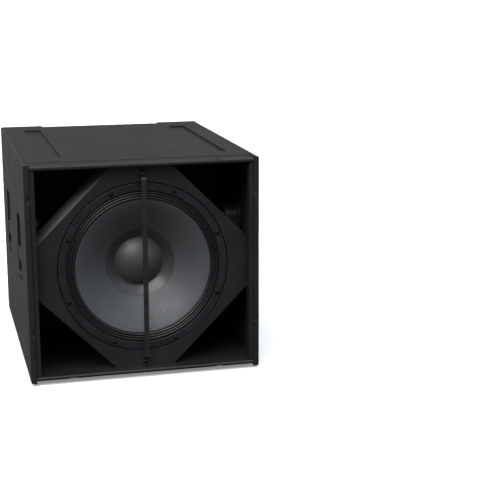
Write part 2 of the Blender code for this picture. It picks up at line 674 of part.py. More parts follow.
def leads():
    """From the backs of the sockets to the baskets of the two drivers."""
    start = Y_REAR - PLATE_SETBACK - SOCKET_DEEP - 2 * GAP
    end_r, end_y = LEAD_END
    front_y = Y_FRONT + BAFFLE_SETBACK - RING_PROUD + end_y
    rear_y = REAR_FACE + RING_PROUD - end_y * REAR_SCALE
    high, low = Z_LOW + SOCKET_Z[1], Z_LOW + SOCKET_Z[0]
    divider = Y_FRONT + DIVIDER_Y
    lead("front_driver_lead", [(SOCKET_X, start, high), (SOCKET_X, start - 0.10, high),
                               (SOCKET_X, divider + 0.05, high), (SOCKET_X, divider - 0.05, high),
                               (SOCKET_X - 0.010, divider - 0.16, high - 0.010),
                               (SOCKET_X - 0.070, front_y + 0.020, Z_MID + 0.005),
                               (0.130, front_y, Z_MID), (end_r, front_y, Z_MID)])
    lead("rear_driver_lead", [(SOCKET_X, start, low), (SOCKET_X, start - 0.040, low),
                              (SOCKET_X - 0.040, rear_y + 0.012, low + 0.010),
                              (0.135, rear_y, Z_MID), (end_r * REAR_SCALE, rear_y, Z_MID)])


# ---- drivers -------------------------------------------------------------------------------------
def cone_height(radius):
    """Front surface of the cone of the 18 inch driver at a radius."""
    edge_r, edge_z = CONE_EDGE
    neck_r, neck_z = CONE_NECK
    inward = (edge_r - radius) / (edge_r - neck_r)
    return edge_z + (neck_z - edge_z) * inward ** CONE_CURVE


def basket_profile():
    ring = [(RING_INNER_R, 0), (FRONT_RING_R, 0), (FRONT_RING_R, -RING_T)]
    return ring + BASKET_WALL + BASKET_BACK + BASKET_SHELF + [(RING_INNER_R, SEAT_Z)]


def cone_profile():
    radii = [CONE_NECK[0] + (CONE_EDGE[0] - CONE_NECK[0]) * k / 4 for k in range(5)]
    front = [(r, cone_height(r)) for r in radii]
    return front + [(r, z - CONE_T) for r, z in front[::-1]]


def cap_profile(radius):
    """Slice of a sphere whose rim rests on the cone."""
    base = cone_height(radius) + GAP
    sphere = (radius ** 2 + CAP_RISE ** 2) / (2 * CAP_RISE)
    centre = base + CAP_RISE - sphere
    inner = sphere - CAP_T

    def arc(ball, floor):
        steepest = acos((floor - centre) / ball)
        return [(ball * sin(steepest * k / CAP_SLICES), centre + ball * cos(steepest * k / CAP_SLICES))
                for k in range(CAP_SLICES + 1)]

    return arc(sphere, base) + arc(inner, base)[::-1]


def surround_profile():
    """Ridges side by side between the cone and the basket."""
    start = CONE_EDGE[0] + GAP
    end = RING_INNER_R - GAP
    base = SEAT_Z + GAP
    roll = (end - start) / ROLLS
    top = []
    for k in range(ROLLS * 2 + 1):
        ridge = ROLL_H if k % 2 else 0
        top.append((start + roll * k / 2, base + SURROUND_T + ridge))
    return top + [(end, base), (start, base)]


def spider_profile():
    """Corrugated disc that centres the coil."""
    inner, outer = SPIDER_R
    count = SPIDER_WAVES * 2
    top = []
    for k in range(count + 1):
        radius = inner + (outer - inner) * k / count
        top.append((radius, SPIDER_Z + SPIDER_WAVE * (k % 2)))
    return top + [(r, z - SPIDER_T) for r, z in top[::-1]]


def basket_windows(name, axis, scale):
    """Cutter for eight tapered windows between the basket's ribs."""
    near, far = WINDOW_R
    tight, wide = WINDOW_ANGLE
    corners = ((near, -tight), (far, -wide), (far, wide), (near, tight))
    loops = []
    for k in range(BOLT_COUNT):
        middle = k * 2 * pi / BOLT_COUNT
        loops.append([(r * scale * cos(middle + a), r * scale * sin(middle + a)) for r, a in corners])
    low, high = WINDOW_Z[0] * scale, WINDOW_Z[1] * scale
    place = axis.matrix_world @ Matrix.Translation((0, 0, low))
    return outline(name, loops, high - low, place)


def scaled(profile, scale):
    return [(r * scale, z * scale) for r, z in profile]


def washer(inner, outer, front, back):
    """Half outline of a flat ring."""
    return [(inner, front), (outer, front), (outer, back), (inner, back)]


def driver(prefix, axis, scale, cap_radius, steps):
    """All the turned pieces of one driver on its axis; the cone faces the axis's +Z."""
    def piece(name, profile, look, count=steps, closed=True):
        return turned(prefix + name, scaled(profile, scale), look, count, axis, closed)

    basket = piece("_driver_basket", basket_profile(), BLACK_STEEL)
    cut(basket, basket_windows(prefix + "_windows", axis, scale))
    front = -RING_T - GAP
    gasket = piece("_driver_gasket", washer(*GASKET_R, front, front - GASKET_T), RUBBER)
    piece("_surround", surround_profile(), RUBBER)
    piece("_cone", cone_profile(), PAPER)
    piece("_dust_cap", cap_profile(cap_radius / scale), PAPER, INNER_STEPS, closed=False)
    piece("_voice_coil", COIL, COPPER, INNER_STEPS)
    piece("_spider", spider_profile(), CLOTH, INNER_STEPS)
    piece("_top_plate", washer(*TOP_PLATE), ZINC, INNER_STEPS)
    piece("_magnet", washer(*MAGNET), FERRITE, INNER_STEPS)
    piece("_yoke", YOKE, ZINC, INNER_STEPS)
    return basket, gasket


def driver_axis(name, y, turn):
    axis = bpy.data.objects.new(name, None)
    PARTS.objects.link(axis)
    axis.matrix_world = Matrix.Translation((0, y, Z_MID)) @ Matrix.Rotation(turn, 4, "X")
    return axis


def baffle_holes(prefix, baffle, axis, ring_r, scale, steps):
    """Driver hole and stepped ring seat in a baffle."""
    seat = (RING_T + GASKET_T + 2 * GAP) * scale
    place = axis.matrix_world
    cut(baffle, cylinder(prefix + "_cutout", CUTOUT_R * scale, -0.05, 0.02, place, steps))
    step = cylinder(prefix + "_ring_seat", ring_r + RING_GAP, -seat, 0.03, place, steps)
    cut(baffle, step)
    return step


def front_driver(baffle):
    axis = driver_axis("front_driver_axis", Y_FRONT + BAFFLE_SETBACK - RING_PROUD, pi / 2)
    basket, gasket = driver("front", axis, 1.0, FRONT_CAP_R, FRONT_STEPS)
    baffle_holes("front", baffle, axis, FRONT_RING_R, 1.0, FRONT_STEPS)
    angles = [(k + 0.5) * 2 * pi / BOLT_COUNT for k in range(BOLT_COUNT)]
    centres = [(BOLT_CIRCLE_R * cos(a), BOLT_CIRCLE_R * sin(a)) for a in angles]
    holes = cylinder("bolt_holes", BOLT_HOLE_R, -0.03, 0.01, axis.matrix_world, 8, centres)
    for target in (basket, gasket, baffle):
        cut(target, holes)
    for number, (x, y) in enumerate(centres, 1):
        name = "front_driver_bolt_%d" % number
        bolt = turned(name, screw_profile(BOLT), BLACK_STEEL, 8, axis, closed=False)
        bolt.location = (x, y, 0)


def rear_driver(baffle, pillars):
    axis = driver_axis("rear_driver_axis", REAR_FACE + RING_PROUD * REAR_SCALE, -pi / 2)
    driver("rear", axis, REAR_SCALE, REAR_CAP_R, REAR_STEPS)
    seat = baffle_holes("rear", baffle, axis, REAR_RING_R, REAR_SCALE, REAR_STEPS)
    for pillar in pillars:
        cut(pillar, seat)


def build():
    side_panel("side_panel_left", -1)
    side_panel("side_panel_right", 1)
    top_panel()
    bottom_panel()
    skids()
    pole_mount()
    front = front_baffle()
    corner_port_walls()
    grille_rails()
    support_bar()
    for side, across in ((-1, "left"), (1, "right")):
        for centre, along in zip(GRIP_Y, ("front", "rear")):
            hand_grip("hand_grip_%s_%s" % (along, across), side, centre)
    divider()
    rear = rear_baffle()
    pillars = [rear_pillar("rear_pillar_left", -1), rear_pillar("rear_pillar_right", 1)]
    rear_port_duct("rear_port_duct_upper", 1)
    rear_port_duct("rear_port_duct_lower", -1)
    connector_plate(pillars[1], rear)
    leads()
    front_driver(front)
    rear_driver(rear, pillars)


clear_scene()
PARTS = new_collection("subwoofer_cabinet")
CUTTERS = new_collection("cutters")
build()
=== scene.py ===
"""Fine surfaces, finishes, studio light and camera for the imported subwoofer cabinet.
"""

from math import acos, cos, pi, radians, sin, sqrt

import bmesh
import bpy
from mathutils import Matrix, Vector


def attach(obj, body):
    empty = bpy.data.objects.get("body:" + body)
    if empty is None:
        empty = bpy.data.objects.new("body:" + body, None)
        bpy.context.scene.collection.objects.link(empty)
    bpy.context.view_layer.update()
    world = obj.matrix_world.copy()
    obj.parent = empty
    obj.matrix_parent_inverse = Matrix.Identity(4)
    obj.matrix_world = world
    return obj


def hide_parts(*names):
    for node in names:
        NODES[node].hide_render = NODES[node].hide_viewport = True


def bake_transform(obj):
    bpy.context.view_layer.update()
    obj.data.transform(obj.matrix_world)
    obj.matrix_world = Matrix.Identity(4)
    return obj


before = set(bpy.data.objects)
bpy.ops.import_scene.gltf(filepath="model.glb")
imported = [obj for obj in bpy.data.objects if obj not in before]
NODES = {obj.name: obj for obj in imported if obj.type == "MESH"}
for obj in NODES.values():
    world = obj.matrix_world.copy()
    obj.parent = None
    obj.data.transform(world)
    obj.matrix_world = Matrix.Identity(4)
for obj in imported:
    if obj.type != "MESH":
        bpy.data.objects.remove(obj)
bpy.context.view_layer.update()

# ---- dimensions shared with the CAD model --------------------------------------------------------
WIDTH, HEIGHT, DEPTH, SKID = 0.635, 0.594, 0.806, 0.007
GAP = 0.0003                                      # left between pieces that lie against each other
Z_LOW, Z_HIGH, Z_MID = SKID, SKID + HEIGHT, SKID + HEIGHT / 2
Y_FRONT, Y_REAR = -DEPTH / 2, DEPTH / 2
X_IN = WIDTH / 2 - 0.016
FLOOR, CEILING = Z_LOW + 0.0165, Z_HIGH - 0.0165
REAR_FACE = Y_REAR - 0.026
BAFFLE_Y = Y_FRONT + 0.033
CHAMFER = X_IN + (CEILING - Z_MID) - 0.221        # |x| + |z - middle| along the corner chamfers
RING_R = 0.2324
REAR_SCALE = 0.1804 / RING_R
PROUD = 0.0015                                    # from a baffle's face to the face of its driver's ring
BOLT_CIRCLE = 0.222
FRONT_AXIS = Matrix.Translation((0, BAFFLE_Y - PROUD, Z_MID)) @ Matrix.Rotation(pi / 2, 4, "X")
REAR_AXIS = (Matrix.Translation((0, REAR_FACE + PROUD * REAR_SCALE, Z_MID))
             @ Matrix.Rotation(-pi / 2, 4, "X"))
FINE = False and 64 or 144                   # sides of the large round pieces


# ==== meshes ======================================================================================
def placed(name, data):
    """A new object in the scene."""
    made = bpy.data.objects.new(name, data)
    bpy.context.scene.collection.objects.link(made)
    return made


def evaluated(holder):
    """A mesh of what an object looks like with its modifiers or its curve settings."""
    bpy.context.view_layer.update()
    return bpy.data.meshes.new_from_object(holder.evaluated_get(bpy.context.evaluated_depsgraph_get()))


def opened(*meshes):
    """One bmesh of several meshes."""
    bm = bmesh.new()
    for mesh in meshes:
        bm.from_mesh(mesh)
    return bm


def sharpened(mesh, angle=35):
    mesh.shade_smooth()
    mesh.set_sharp_from_angle(angle=radians(angle))
    return mesh


def to_mesh(bm, place=None, angle=35):
    """A clean, outward-facing mesh in world coordinates from a bmesh, which it frees."""
    if place is not None:
        bmesh.ops.transform(bm, matrix=place, verts=bm.verts)
    bmesh.ops.remove_doubles(bm, verts=bm.verts, dist=1e-6)
    bmesh.ops.recalc_face_normals(bm, faces=bm.faces)
    mesh = bpy.data.meshes.new("shape")
    bm.to_mesh(mesh)
    bm.free()
    return sharpened(mesh, angle)


def fillet(points, closed=True, steps=5):
    """Corners given as (a, b, radius) turn into arcs; a corner given as (a, b) stays sharp."""
    result = []
    count = len(points)
    for i, point in enumerate(points):
        here = Vector(point[:2])
        radius = point[2] if len(point) > 2 else 0.0
        if not radius or (not closed and i in (0, count - 1)):
            result.append(tuple(here))
            continue
        before = (Vector(points[i - 1][:2]) - here).normalized()
        after = (Vector(points[(i + 1) % count][:2]) - here).normalized()
        half = before.angle(after) / 2
        if half > pi / 2 - 0.005:
            result.append(tuple(here))
            continue
        reach = radius / max(1e-6, sin(half) / cos(half))
        start, end = here + before * reach, here + after * reach
        middle = here + (before + after).normalized() * (radius / sin(half))
        for k in range(steps + 1):
            t = k / steps
            spoke = (start - middle).normalized().slerp((end - middle).normalized(), t)
            result.append(tuple(middle + spoke.normalized() * radius))
    return result


def circle(radius, steps=32, centre=(0.0, 0.0)):
    turns = [2 * pi * k / steps for k in range(steps)]
    return [(centre[0] + radius * cos(turn), centre[1] + radius * sin(turn)) for turn in turns]


def lathe(profile, steps, place, closed=True, angle=35):
    """Turned mesh about place's Z axis from (radius, height) points; a radius of 0 is a pole."""
    bm = bmesh.new()
    rings = []
    for radius, z in profile:
        if radius < 1e-7:
            rings.append([bm.verts.new((0, 0, z))] * steps)
        else:
            rings.append([bm.verts.new((x, y, z)) for x, y in circle(radius, steps)])
    pairs = list(zip(rings, rings[1:]))
    if closed:
        pairs.append((rings[-1], rings[0]))
    for one, other in pairs:
        for k in range(steps):
            n = (k + 1) % steps
            corners = []
            for vert in (one[k], one[n], other[n], other[k]):
                if vert not in corners:
                    corners.append(vert)
            if len(corners) > 2:
                bm.faces.new(corners)
    return to_mesh(bm, place, angle)


def prism(loops, low, high, place=None, edge=0.0):
    """Closed (x, y) loops, filled between z = low and z = high, with edges rounded by edge."""
    curve = bpy.data.curves.new("outline", "CURVE")
    curve.dimensions = "2D"
    curve.fill_mode = "BOTH"
    curve.extrude = (high - low) / 2 - edge
    curve.bevel_depth = edge
    curve.bevel_resolution = 2
    curve.offset = -edge
    for loop in loops:
        spline = curve.splines.new("POLY")
        spline.points.add(len(loop) - 1)
        for point, (x, y) in zip(spline.points, loop):
            point.co = (x, y, 0.0, 1.0)
        spline.use_cyclic_u = True
    holder = placed("outline", curve)
    flat = evaluated(holder)
    bpy.data.objects.remove(holder)
    bm = opened(flat)
    bpy.data.meshes.remove(flat)
    bmesh.ops.translate(bm, vec=(0, 0, (low + high) / 2), verts=bm.verts)
    return to_mesh(bm, place)


def peg(radius, sides, centre, low, high, place=None):
    """A prism with equal sides: a round pin, or the cutter of a hole."""
    return prism([circle(radius, sides, centre)], low, high, place)


def block(corner, opposite, rounded=(), segments=5):
    """A box. rounded holds (radius, test) pairs: an edge whose middle passes the test is rounded."""
    low = Vector([min(pair) for pair in zip(corner, opposite)])
    high = Vector([max(pair) for pair in zip(corner, opposite)])
    bm = bmesh.new()
    bmesh.ops.create_cube(bm, size=1.0)
    bmesh.ops.scale(bm, vec=high - low, verts=bm.verts)
    bmesh.ops.translate(bm, vec=(low + high) / 2, verts=bm.verts)
    for radius, test in rounded:
        edges = [e for e in bm.edges if test((e.verts[0].co + e.verts[1].co) / 2)]
        bmesh.ops.bevel(bm, geom=edges, offset=radius, segments=segments, profile=0.5, affect="EDGES")
    return to_mesh(bm)


def bar_box(corner, opposite, radius):
    """A box with every edge rounded."""
    return block(corner, opposite, ((radius, lambda middle: True),), 3)


def stack(loops):
    """Closed solid through a row of 3-D loops with equal counts."""
    bm = bmesh.new()
    rings = [[bm.verts.new(p) for p in loop] for loop in loops]
    for one, other in zip(rings, rings[1:]):
        for k in range(len(one)):
            n = (k + 1) % len(one)
            bm.faces.new((one[k], one[n], other[n], other[k]))
    bm.faces.new(rings[0])
    bm.faces.new(rings[-1])
    return to_mesh(bm)


def joined(*meshes):
    """One mesh of several separate bodies."""
    return to_mesh(opened(*meshes))


def carved(mesh, cutters, unions=(), bevel=None, bevel_angle=38, segments=2):
    """Exact Booleans, then a small rounding of the sharp edges that are left."""
    holder = placed("carved", mesh)
    helpers = []
    for other, operation in [(m, "UNION") for m in unions] + [(m, "DIFFERENCE") for m in cutters]:
        helpers.append(placed("tool", other))
        step = holder.modifiers.new("cut", "BOOLEAN")
        step.operation = operation
        step.solver = "EXACT"
        step.object = helpers[-1]
    if bevel:
        weld_corners(holder)
        soften(holder, bevel, bevel_angle, segments).miter_outer = "MITER_ARC"
    result = evaluated(holder)
    for tool in helpers + [holder]:
        bpy.data.objects.remove(tool)
    bm = opened(result)
    bmesh.ops.dissolve_degenerate(bm, edges=bm.edges, dist=2e-6)
    bmesh.ops.holes_fill(bm, edges=[edge for edge in bm.edges if edge.is_boundary], sides=0)
    return to_mesh(bm)


def weld_corners(holder):
    holder.modifiers.new("weld", "WELD").merge_threshold = 0.00002


def soften(holder, radius, angle=38, segments=3):
    """A modifier that rounds an object's edges where they are sharper than angle, in degrees."""
    bevel = holder.modifiers.new("soften", "BEVEL")
    bevel.width = radius
    bevel.segments = segments
    bevel.limit_method = "ANGLE"
    bevel.angle_limit = radians(angle)
    return bevel


def rounded_rectangle(corner, opposite, radius, segments=8):
    (x0, x1), (y0, y1) = [sorted(pair) for pair in zip(corner, opposite)]
    points = []
    centres = ((x1 - radius, y1 - radius), (x0 + radius, y1 - radius),
               (x0 + radius, y0 + radius), (x1 - radius, y0 + radius))
    for quarter, (x, y) in enumerate(centres):
        for step in range(segments + 1):
            turn = (quarter + step / segments) * pi / 2
            points.append((x + radius * cos(turn), y + radius * sin(turn)))
    return points


def upright(y):
    """(x, y, z) of a drawing go to x, height, and depth back from y."""
    return Matrix(((1, 0, 0, 0), (0, 0, 1, y), (0, 1, 0, 0), (0, 0, 0, 1)))


def sideways(x):
    """(x, y, z) of a drawing go to depth, height, and distance right from x."""
    return Matrix(((0, 0, 1, x), (1, 0, 0, 0), (0, 1, 0, 0), (0, 0, 0, 1)))


def show(name, mesh, finish, body="cabinet", instead_of=()):
    """Puts a mesh in the scene as a piece that moves with a body and may stand for CAD nodes."""
    made = placed(name, mesh)
    mesh.name = name
    mesh.materials.append(finish)
    even = made.modifiers.new("even_normals", "WEIGHTED_NORMAL")
    even.keep_sharp = True
    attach(made, body)
    if instead_of:
        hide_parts(*instead_of)
    return made


def stand_in(node, mesh, finish, body="cabinet"):
    """Shows a finer mesh in the place of one CAD node."""
    return show(node + "_detailed", mesh, finish, body, (node,))


RIB_START, RIB_END = 0.0972, 0.1840                # the front cone is ribbed between these radii
RIB_PITCH = (RIB_END - RIB_START) / 16


# ==== materials ===================================================================================
def times(colour, share):
    return tuple(part * share for part in colour)


class Finish:
    """A material under construction: its nodes, with short names for what the finishes share."""

    def __init__(self, name, colour, roughness, metallic=0.0, specular=0.5):
        self.material = bpy.data.materials.new(name)
        self.material.use_nodes = True
        self.tree = self.material.node_tree
        self.shader = self.tree.nodes["Principled BSDF"]
        self.set("Base Color", colour)
        self.set("Roughness", roughness)
        self.set("Metallic", metallic)
        self.set("Specular IOR Level", specular)
        self.place = self.node("TexCoord").outputs["Object"]

    def feed(self, socket, value):
        """Gives a socket a number, a vector, a colour without alpha, or another node's output."""
        if isinstance(value, bpy.types.NodeSocket):
            self.tree.links.new(value, socket)
        elif socket.type == "RGBA":
            socket.default_value = (*value, 1.0)
        else:
            socket.default_value = value

    def set(self, socket, value):
        self.feed(self.shader.inputs[socket], value)

    def node(self, kind, inputs=()):
        made = self.tree.nodes.new("ShaderNode" + kind)
        for key, value in dict(inputs).items():
            self.feed(made.inputs[key], value)
        return made

    def math(self, operation, *values):
        node = self.node("Math", enumerate(values))
        node.operation = operation
        return node.outputs[0]

    def plus(self, one, other):
        return self.math("ADD", one, other)

    def by(self, one, other):
        return self.math("MULTIPLY", one, other)

    def mapped(self, scale):
        return self.node("Mapping", {"Vector": self.place, "Scale": scale}).outputs[0]

    def noise(self, scale, detail=4.0, rough=0.55, where=None, distortion=0.0):
        where = self.place if where is None else where
        return self.node("TexNoise", {"Vector": where, "Scale": scale, "Detail": detail, "Roughness": rough,
                                      "Distortion": distortion}).outputs["Fac"]

    def cells(self, scale):
        return self.node("TexVoronoi", {"Vector": self.place, "Scale": scale}).outputs["Distance"]

    def span(self, value, low, high, to_low=0.0, to_high=1.0):
        return self.node("MapRange", {"Value": value, "From Min": low, "From Max": high,
                                      "To Min": to_low, "To Max": to_high}).outputs[0]

    def drift(self, noise, middle, reach, above=None):
        """A number that wanders round its middle with a noise, by reach, or by above on its high side."""
        return self.span(noise, 0.3, 0.7, middle - reach, middle + (reach if above is None else above))

    def blended(self, factor, one, other):
        node = self.node("Mix")
        node.data_type = "RGBA"
        self.feed(node.inputs["Factor"], factor)
        self.feed(node.inputs[6], one)
        self.feed(node.inputs[7], other)
        return node.outputs[2]

    def clouded(self, noise, one, other):
        return self.blended(self.span(noise, 0.3, 0.7), one, other)

    def tint(self, value):
        self.set("Base Color", value)

    def roughen(self, value):
        self.set("Roughness", value)

    def bump(self, height, depth, strength):
        node = self.node("Bump", {"Strength": strength, "Distance": depth, "Height": height})
        self.set("Normal", node.outputs["Normal"])

    def parts(self):
        """The place's X, Y and Z."""
        return self.node("SeparateXYZ", {0: self.place}).outputs

    def polar(self):
        """Distance from a driver's axis, and the angle round it."""
        place = self.parts()
        height = self.math("SUBTRACT", place["Z"], Z_MID)
        square = self.plus(self.by(place["X"], place["X"]), self.by(height, height))
        return self.math("SQRT", square), self.math("ARCTAN2", height, place["X"])


def textured_paint(name, dark, light, roughness):
    """Sprayed-on textured cabinet paint: fine pimples, cloudy sheen and a few paler scuffs."""
    f = Finish(name, dark, roughness, specular=0.45)
    pimples = f.noise(780.0, 3.0, 0.62)
    cloud = f.noise(9.0, 4.0, 0.55)
    speckle = f.span(f.noise(1500.0, 2.0, 0.5), 0.55, 0.75)
    scuff = f.by(f.span(f.noise(26.0, 6.0, 0.7, f.mapped((1, 0.35, 1)), 1.2), 0.64, 0.80),
                 f.span(f.noise(160.0, 3.0, 0.6), 0.45, 0.7))
    base = f.blended(f.by(speckle, 0.35), f.clouded(cloud, dark, light), times(light, 1.9))
    f.tint(f.blended(f.by(scuff, 0.30), base, times(light, 2.6)))
    f.roughen(f.plus(f.drift(cloud, roughness, 0.05), f.drift(pimples, 0.0, 0.05)))
    f.bump(f.plus(f.by(pimples, 0.75), f.by(f.cells(620.0), 0.4)), 0.00028, 0.75)
    return f.material


def moulded_plastic(name, colour, roughness):
    """Plastic or rubber from a grained mould."""
    f = Finish(name, colour, roughness, specular=0.4)
    cloud = f.noise(22.0, 3.0, 0.5)
    f.tint(f.clouded(cloud, colour, times(colour, 1.35)))
    f.roughen(f.drift(cloud, roughness, 0.06))
    f.bump(f.noise(1400.0, 2.0, 0.5), 0.00008, 0.6)
    return f.material


def coated_metal(name, colour, roughness, metallic):
    """Powder coat on a cast or pressed part: a fine orange peel with a few worn specks."""
    f = Finish(name, colour, roughness, metallic)
    cloud = f.noise(30.0, 4.0, 0.6)
    worn = f.span(f.noise(210.0, 5.0, 0.7), 0.66, 0.74)
    f.tint(f.blended(f.by(worn, 0.3), f.clouded(cloud, colour, times(colour, 1.5)), (0.11, 0.11, 0.115)))
    f.roughen(f.drift(cloud, roughness, 0.07))
    f.bump(f.noise(520.0, 2.0, 0.45), 0.00010, 0.6)
    return f.material


def plated_metal(name, colour, roughness):
    """Zinc or bare steel with fine machining lines, smudges and cloudy plating."""
    f = Finish(name, colour, roughness, 0.95)
    lines = f.noise(300.0, 4.0, 0.7)
    cloud = f.noise(45.0, 4.0, 0.6)
    f.tint(f.blended(f.span(cloud, 0.3, 0.75), colour, times(colour, 0.72)))
    f.roughen(f.plus(f.drift(cloud, roughness, 0.06, 0.10), f.drift(lines, 0.0, 0.06)))
    f.bump(lines, 0.00004, 0.5)
    return f.material


def cone_paper(name, dark, light, roughness, ribbed=False):
    """Coated pulp: a mat of short fibres round the cone, with painted shade in the grooves of a ribbed one.
    """
    f = Finish(name, dark, roughness, specular=0.6)
    radius, turn = f.polar()
    around = f.node("CombineXYZ", {"X": radius, "Y": f.by(turn, 0.02)}).outputs[0]
    pulp = f.noise(420.0, 4.0, 0.65)
    cloud = f.noise(28.0, 4.0, 0.6)
    mixed = f.plus(f.by(f.noise(1100.0, 5.0, 0.7, around, 0.6), 0.55), f.by(pulp, 0.45))
    base = f.blended(f.span(mixed, 0.25, 0.78), dark, light)
    base = f.blended(f.by(f.span(cloud, 0.45, 0.8), 0.25), base, times(dark, 0.7))
    rough = f.plus(f.drift(cloud, roughness, 0.05, 0.06), f.drift(pulp, 0.0, 0.05))
    if ribbed:
        phase = f.by(f.math("SUBTRACT", radius, RIB_START), 2 * pi / RIB_PITCH)
        # the grooves between the ribs are darkened in colour: painted shade
        painted_groove_shade = f.by(f.span(f.math("COSINE", phase), 0.0, 1.0), 0.30)
        smooth_part = f.span(radius, RIB_START - 0.0008, RIB_START, 0.55, 0.0)
        base = f.blended(f.math("MAXIMUM", painted_groove_shade, smooth_part), base, times(dark, 0.25))
        rough = f.math("SUBTRACT", rough, f.by(smooth_part, 0.22))
    f.tint(base)
    f.roughen(rough)
    f.bump(mixed, 0.00002, 0.7)
    return f.material


def doped_cloth(name, colour, roughness, threads=1500.0, depth=0.00016, light=1.9, specular=0.5):
    """Woven cloth in rings and spokes about the axis, soaked in a flexible coating."""
    f = Finish(name, colour, roughness, specular=specular)
    radius, turn = f.polar()
    rings = f.math("SINE", f.by(radius, threads * 2.0))
    spokes = f.math("SINE", f.by(turn, threads * 0.36))
    weave = f.by(f.plus(f.by(rings, spokes), 1.0), 0.5)
    cloud = f.noise(60.0, 4.0, 0.6)
    grain = f.noise(1300.0, 2.0, 0.5)
    f.tint(f.blended(f.by(weave, f.span(cloud, 0.3, 0.7, 0.35, 0.8)), colour, times(colour, light)))
    f.roughen(f.plus(f.drift(cloud, roughness, 0.08), f.span(weave, 0.0, 1.0, -0.04, 0.04)))
    f.bump(f.plus(f.by(weave, 0.7), f.by(grain, 0.3)), depth, 0.6)
    return f.material


def wound_wire(name):
    """Enamelled wire on the rear third of the coil, and a glass-fibre former in front of it."""
    f = Finish(name, (0.52, 0.22, 0.09), 0.32, 0.7)
    depth = f.parts()["Y"]
    turns = f.math("SINE", f.by(depth, 9000.0))
    mottle = f.noise(500.0, 4.0, 0.6)
    winding = f.span(f.math("ABSOLUTE", depth), 0.2395, 0.2400, 1.0, 0.0)
    copper = f.blended(f.span(turns, -1.0, 1.0), (0.30, 0.11, 0.04), (0.62, 0.28, 0.12))
    f.tint(f.blended(winding, f.clouded(mottle, (0.20, 0.13, 0.05), (0.30, 0.21, 0.09)), copper))
    f.roughen(f.drift(mottle, 0.35, 0.07))
    f.bump(turns, 0.00006, 0.5)
    return f.material


def ferrite(name):
    """Fired ceramic magnet: dark grey, chalky, with grinding arcs and chips."""
    f = Finish(name, (0.055, 0.055, 0.06), 0.72, 0.1)
    grain = f.noise(700.0, 5.0, 0.7)
    f.tint(f.clouded(grain, (0.040, 0.040, 0.044), (0.085, 0.085, 0.090)))
    f.roughen(f.span(grain, 0.3, 0.7, 0.62, 0.85))
    f.bump(f.plus(grain, f.by(f.cells(140.0), 0.5)), 0.0002, 0.6)
    return f.material


def printed(name, colour):
    """Screen-print ink: a little uneven in cover and gloss."""
    f = Finish(name, colour, 0.5)
    cover = f.noise(900.0, 3.0, 0.6)
    f.tint(f.blended(f.span(cover, 0.3, 0.62), times(colour, 0.72), colour))
    f.roughen(f.span(cover, 0.3, 0.7, 0.42, 0.6))
    f.bump(cover, 0.00003, 0.5)
    return f.material


PAINT = textured_paint("cabinet_paint_textured", (0.0066, 0.0070, 0.0080), (0.0098, 0.0104, 0.0117), 0.50)
# dark paint inside the ports, darker and duller than the outside: partly the inside's own paint, partly
# painted shade for the black of the ports
PORT_SHADE_PAINT = textured_paint("port_paint_painted_shade", (0.0060, 0.0062, 0.0068), (0.0090, 0.0094, 0.0100), 0.62)
# lighter paint on the corner port walls and the baffle's chamfers: painted light, standing in for the light
# that falls on them near the front
WALL_PAINTED_LIGHT = textured_paint("corner_wall_painted_light", (0.100, 0.103, 0.100), (0.130, 0.134, 0.128), 0.62)
PLASTIC = moulded_plastic("black_plastic_moulded", (0.0075, 0.0078, 0.0085), 0.48)
SOCKET_PLASTIC = moulded_plastic("socket_plastic", (0.020, 0.021, 0.024), 0.42)
PLATE_FINISH = coated_metal("connector_plate_coating", (0.0040, 0.0050, 0.0085), 0.42, 0.2)
CAST = coated_metal("basket_powder_coat", (0.0120, 0.0130, 0.0150), 0.42, 0.3)
STRAP = coated_metal("support_bar_coating", (0.0150, 0.0158, 0.0170), 0.45, 0.3)
BLACK_BOLT = coated_metal("bolt_black_oxide", (0.014, 0.014, 0.016), 0.34, 0.8)
ZINC = plated_metal("zinc_plated_steel", (0.52, 0.53, 0.55), 0.34)
DARK_ZINC = plated_metal("insert_dark_zinc", (0.10, 0.10, 0.105), 0.42)
RIBBED_PAPER = cone_paper("front_cone_coated_pulp", (0.050, 0.0525, 0.0560), (0.075, 0.0780, 0.0830), 0.47,
                          ribbed=True)
SMOOTH_PAPER = cone_paper("rear_cone_coated_pulp", (0.045, 0.0470, 0.0500), (0.066, 0.0685, 0.0730), 0.47)
CAP_PAPER = cone_paper("dust_cap_coated_pulp", (0.040, 0.0405, 0.0420), (0.056, 0.0565, 0.0585), 0.45)
SURROUND = doped_cloth("surround_doped_cloth", (0.0060, 0.0064, 0.0075), 0.40)
SPIDER = doped_cloth("spider_resin_cloth", (0.36, 0.215, 0.065), 0.74, 900.0, 0.00025, 1.45, 0.25)
RUBBER = moulded_plastic("gasket_rubber", (0.010, 0.010, 0.011), 0.74)
LEAD = moulded_plastic("lead_jacket", (0.012, 0.012, 0.013), 0.58)
COIL = wound_wire("coil_wire_and_former")
FERRITE = ferrite("ferrite_fired")
WHITE_PRINT = printed("plate_print_white", (0.62, 0.63, 0.66))
GREY_PRINT = printed("plate_print_grey", (0.16, 0.165, 0.175))
GREEN_PRINT = printed("plate_print_green", (0.05, 0.42, 0.14))


# ==== the box =====================================================================================
GRIP_Y = (Y_FRONT + 0.218, Y_FRONT + 0.590)
GRIP_HALF = 0.054
GRIP_Z = (Z_LOW + 0.232, Z_LOW + 0.428)
GRIP_BAR_Z = (Z_LOW + 0.285, Z_LOW + 0.326)
CLIP_Z = (0.131, 0.150), (0.493, 0.512)
RIM_SCREW_Z = (0.082, 0.442)


def grip_loop(centre, inset=0.0):
    low = (centre - GRIP_HALF + inset, GRIP_Z[0] + inset)
    high = (centre + GRIP_HALF - inset, GRIP_Z[1] - inset)
    return rounded_rectangle(low, high, max(0.004, 0.030 - inset), 8)


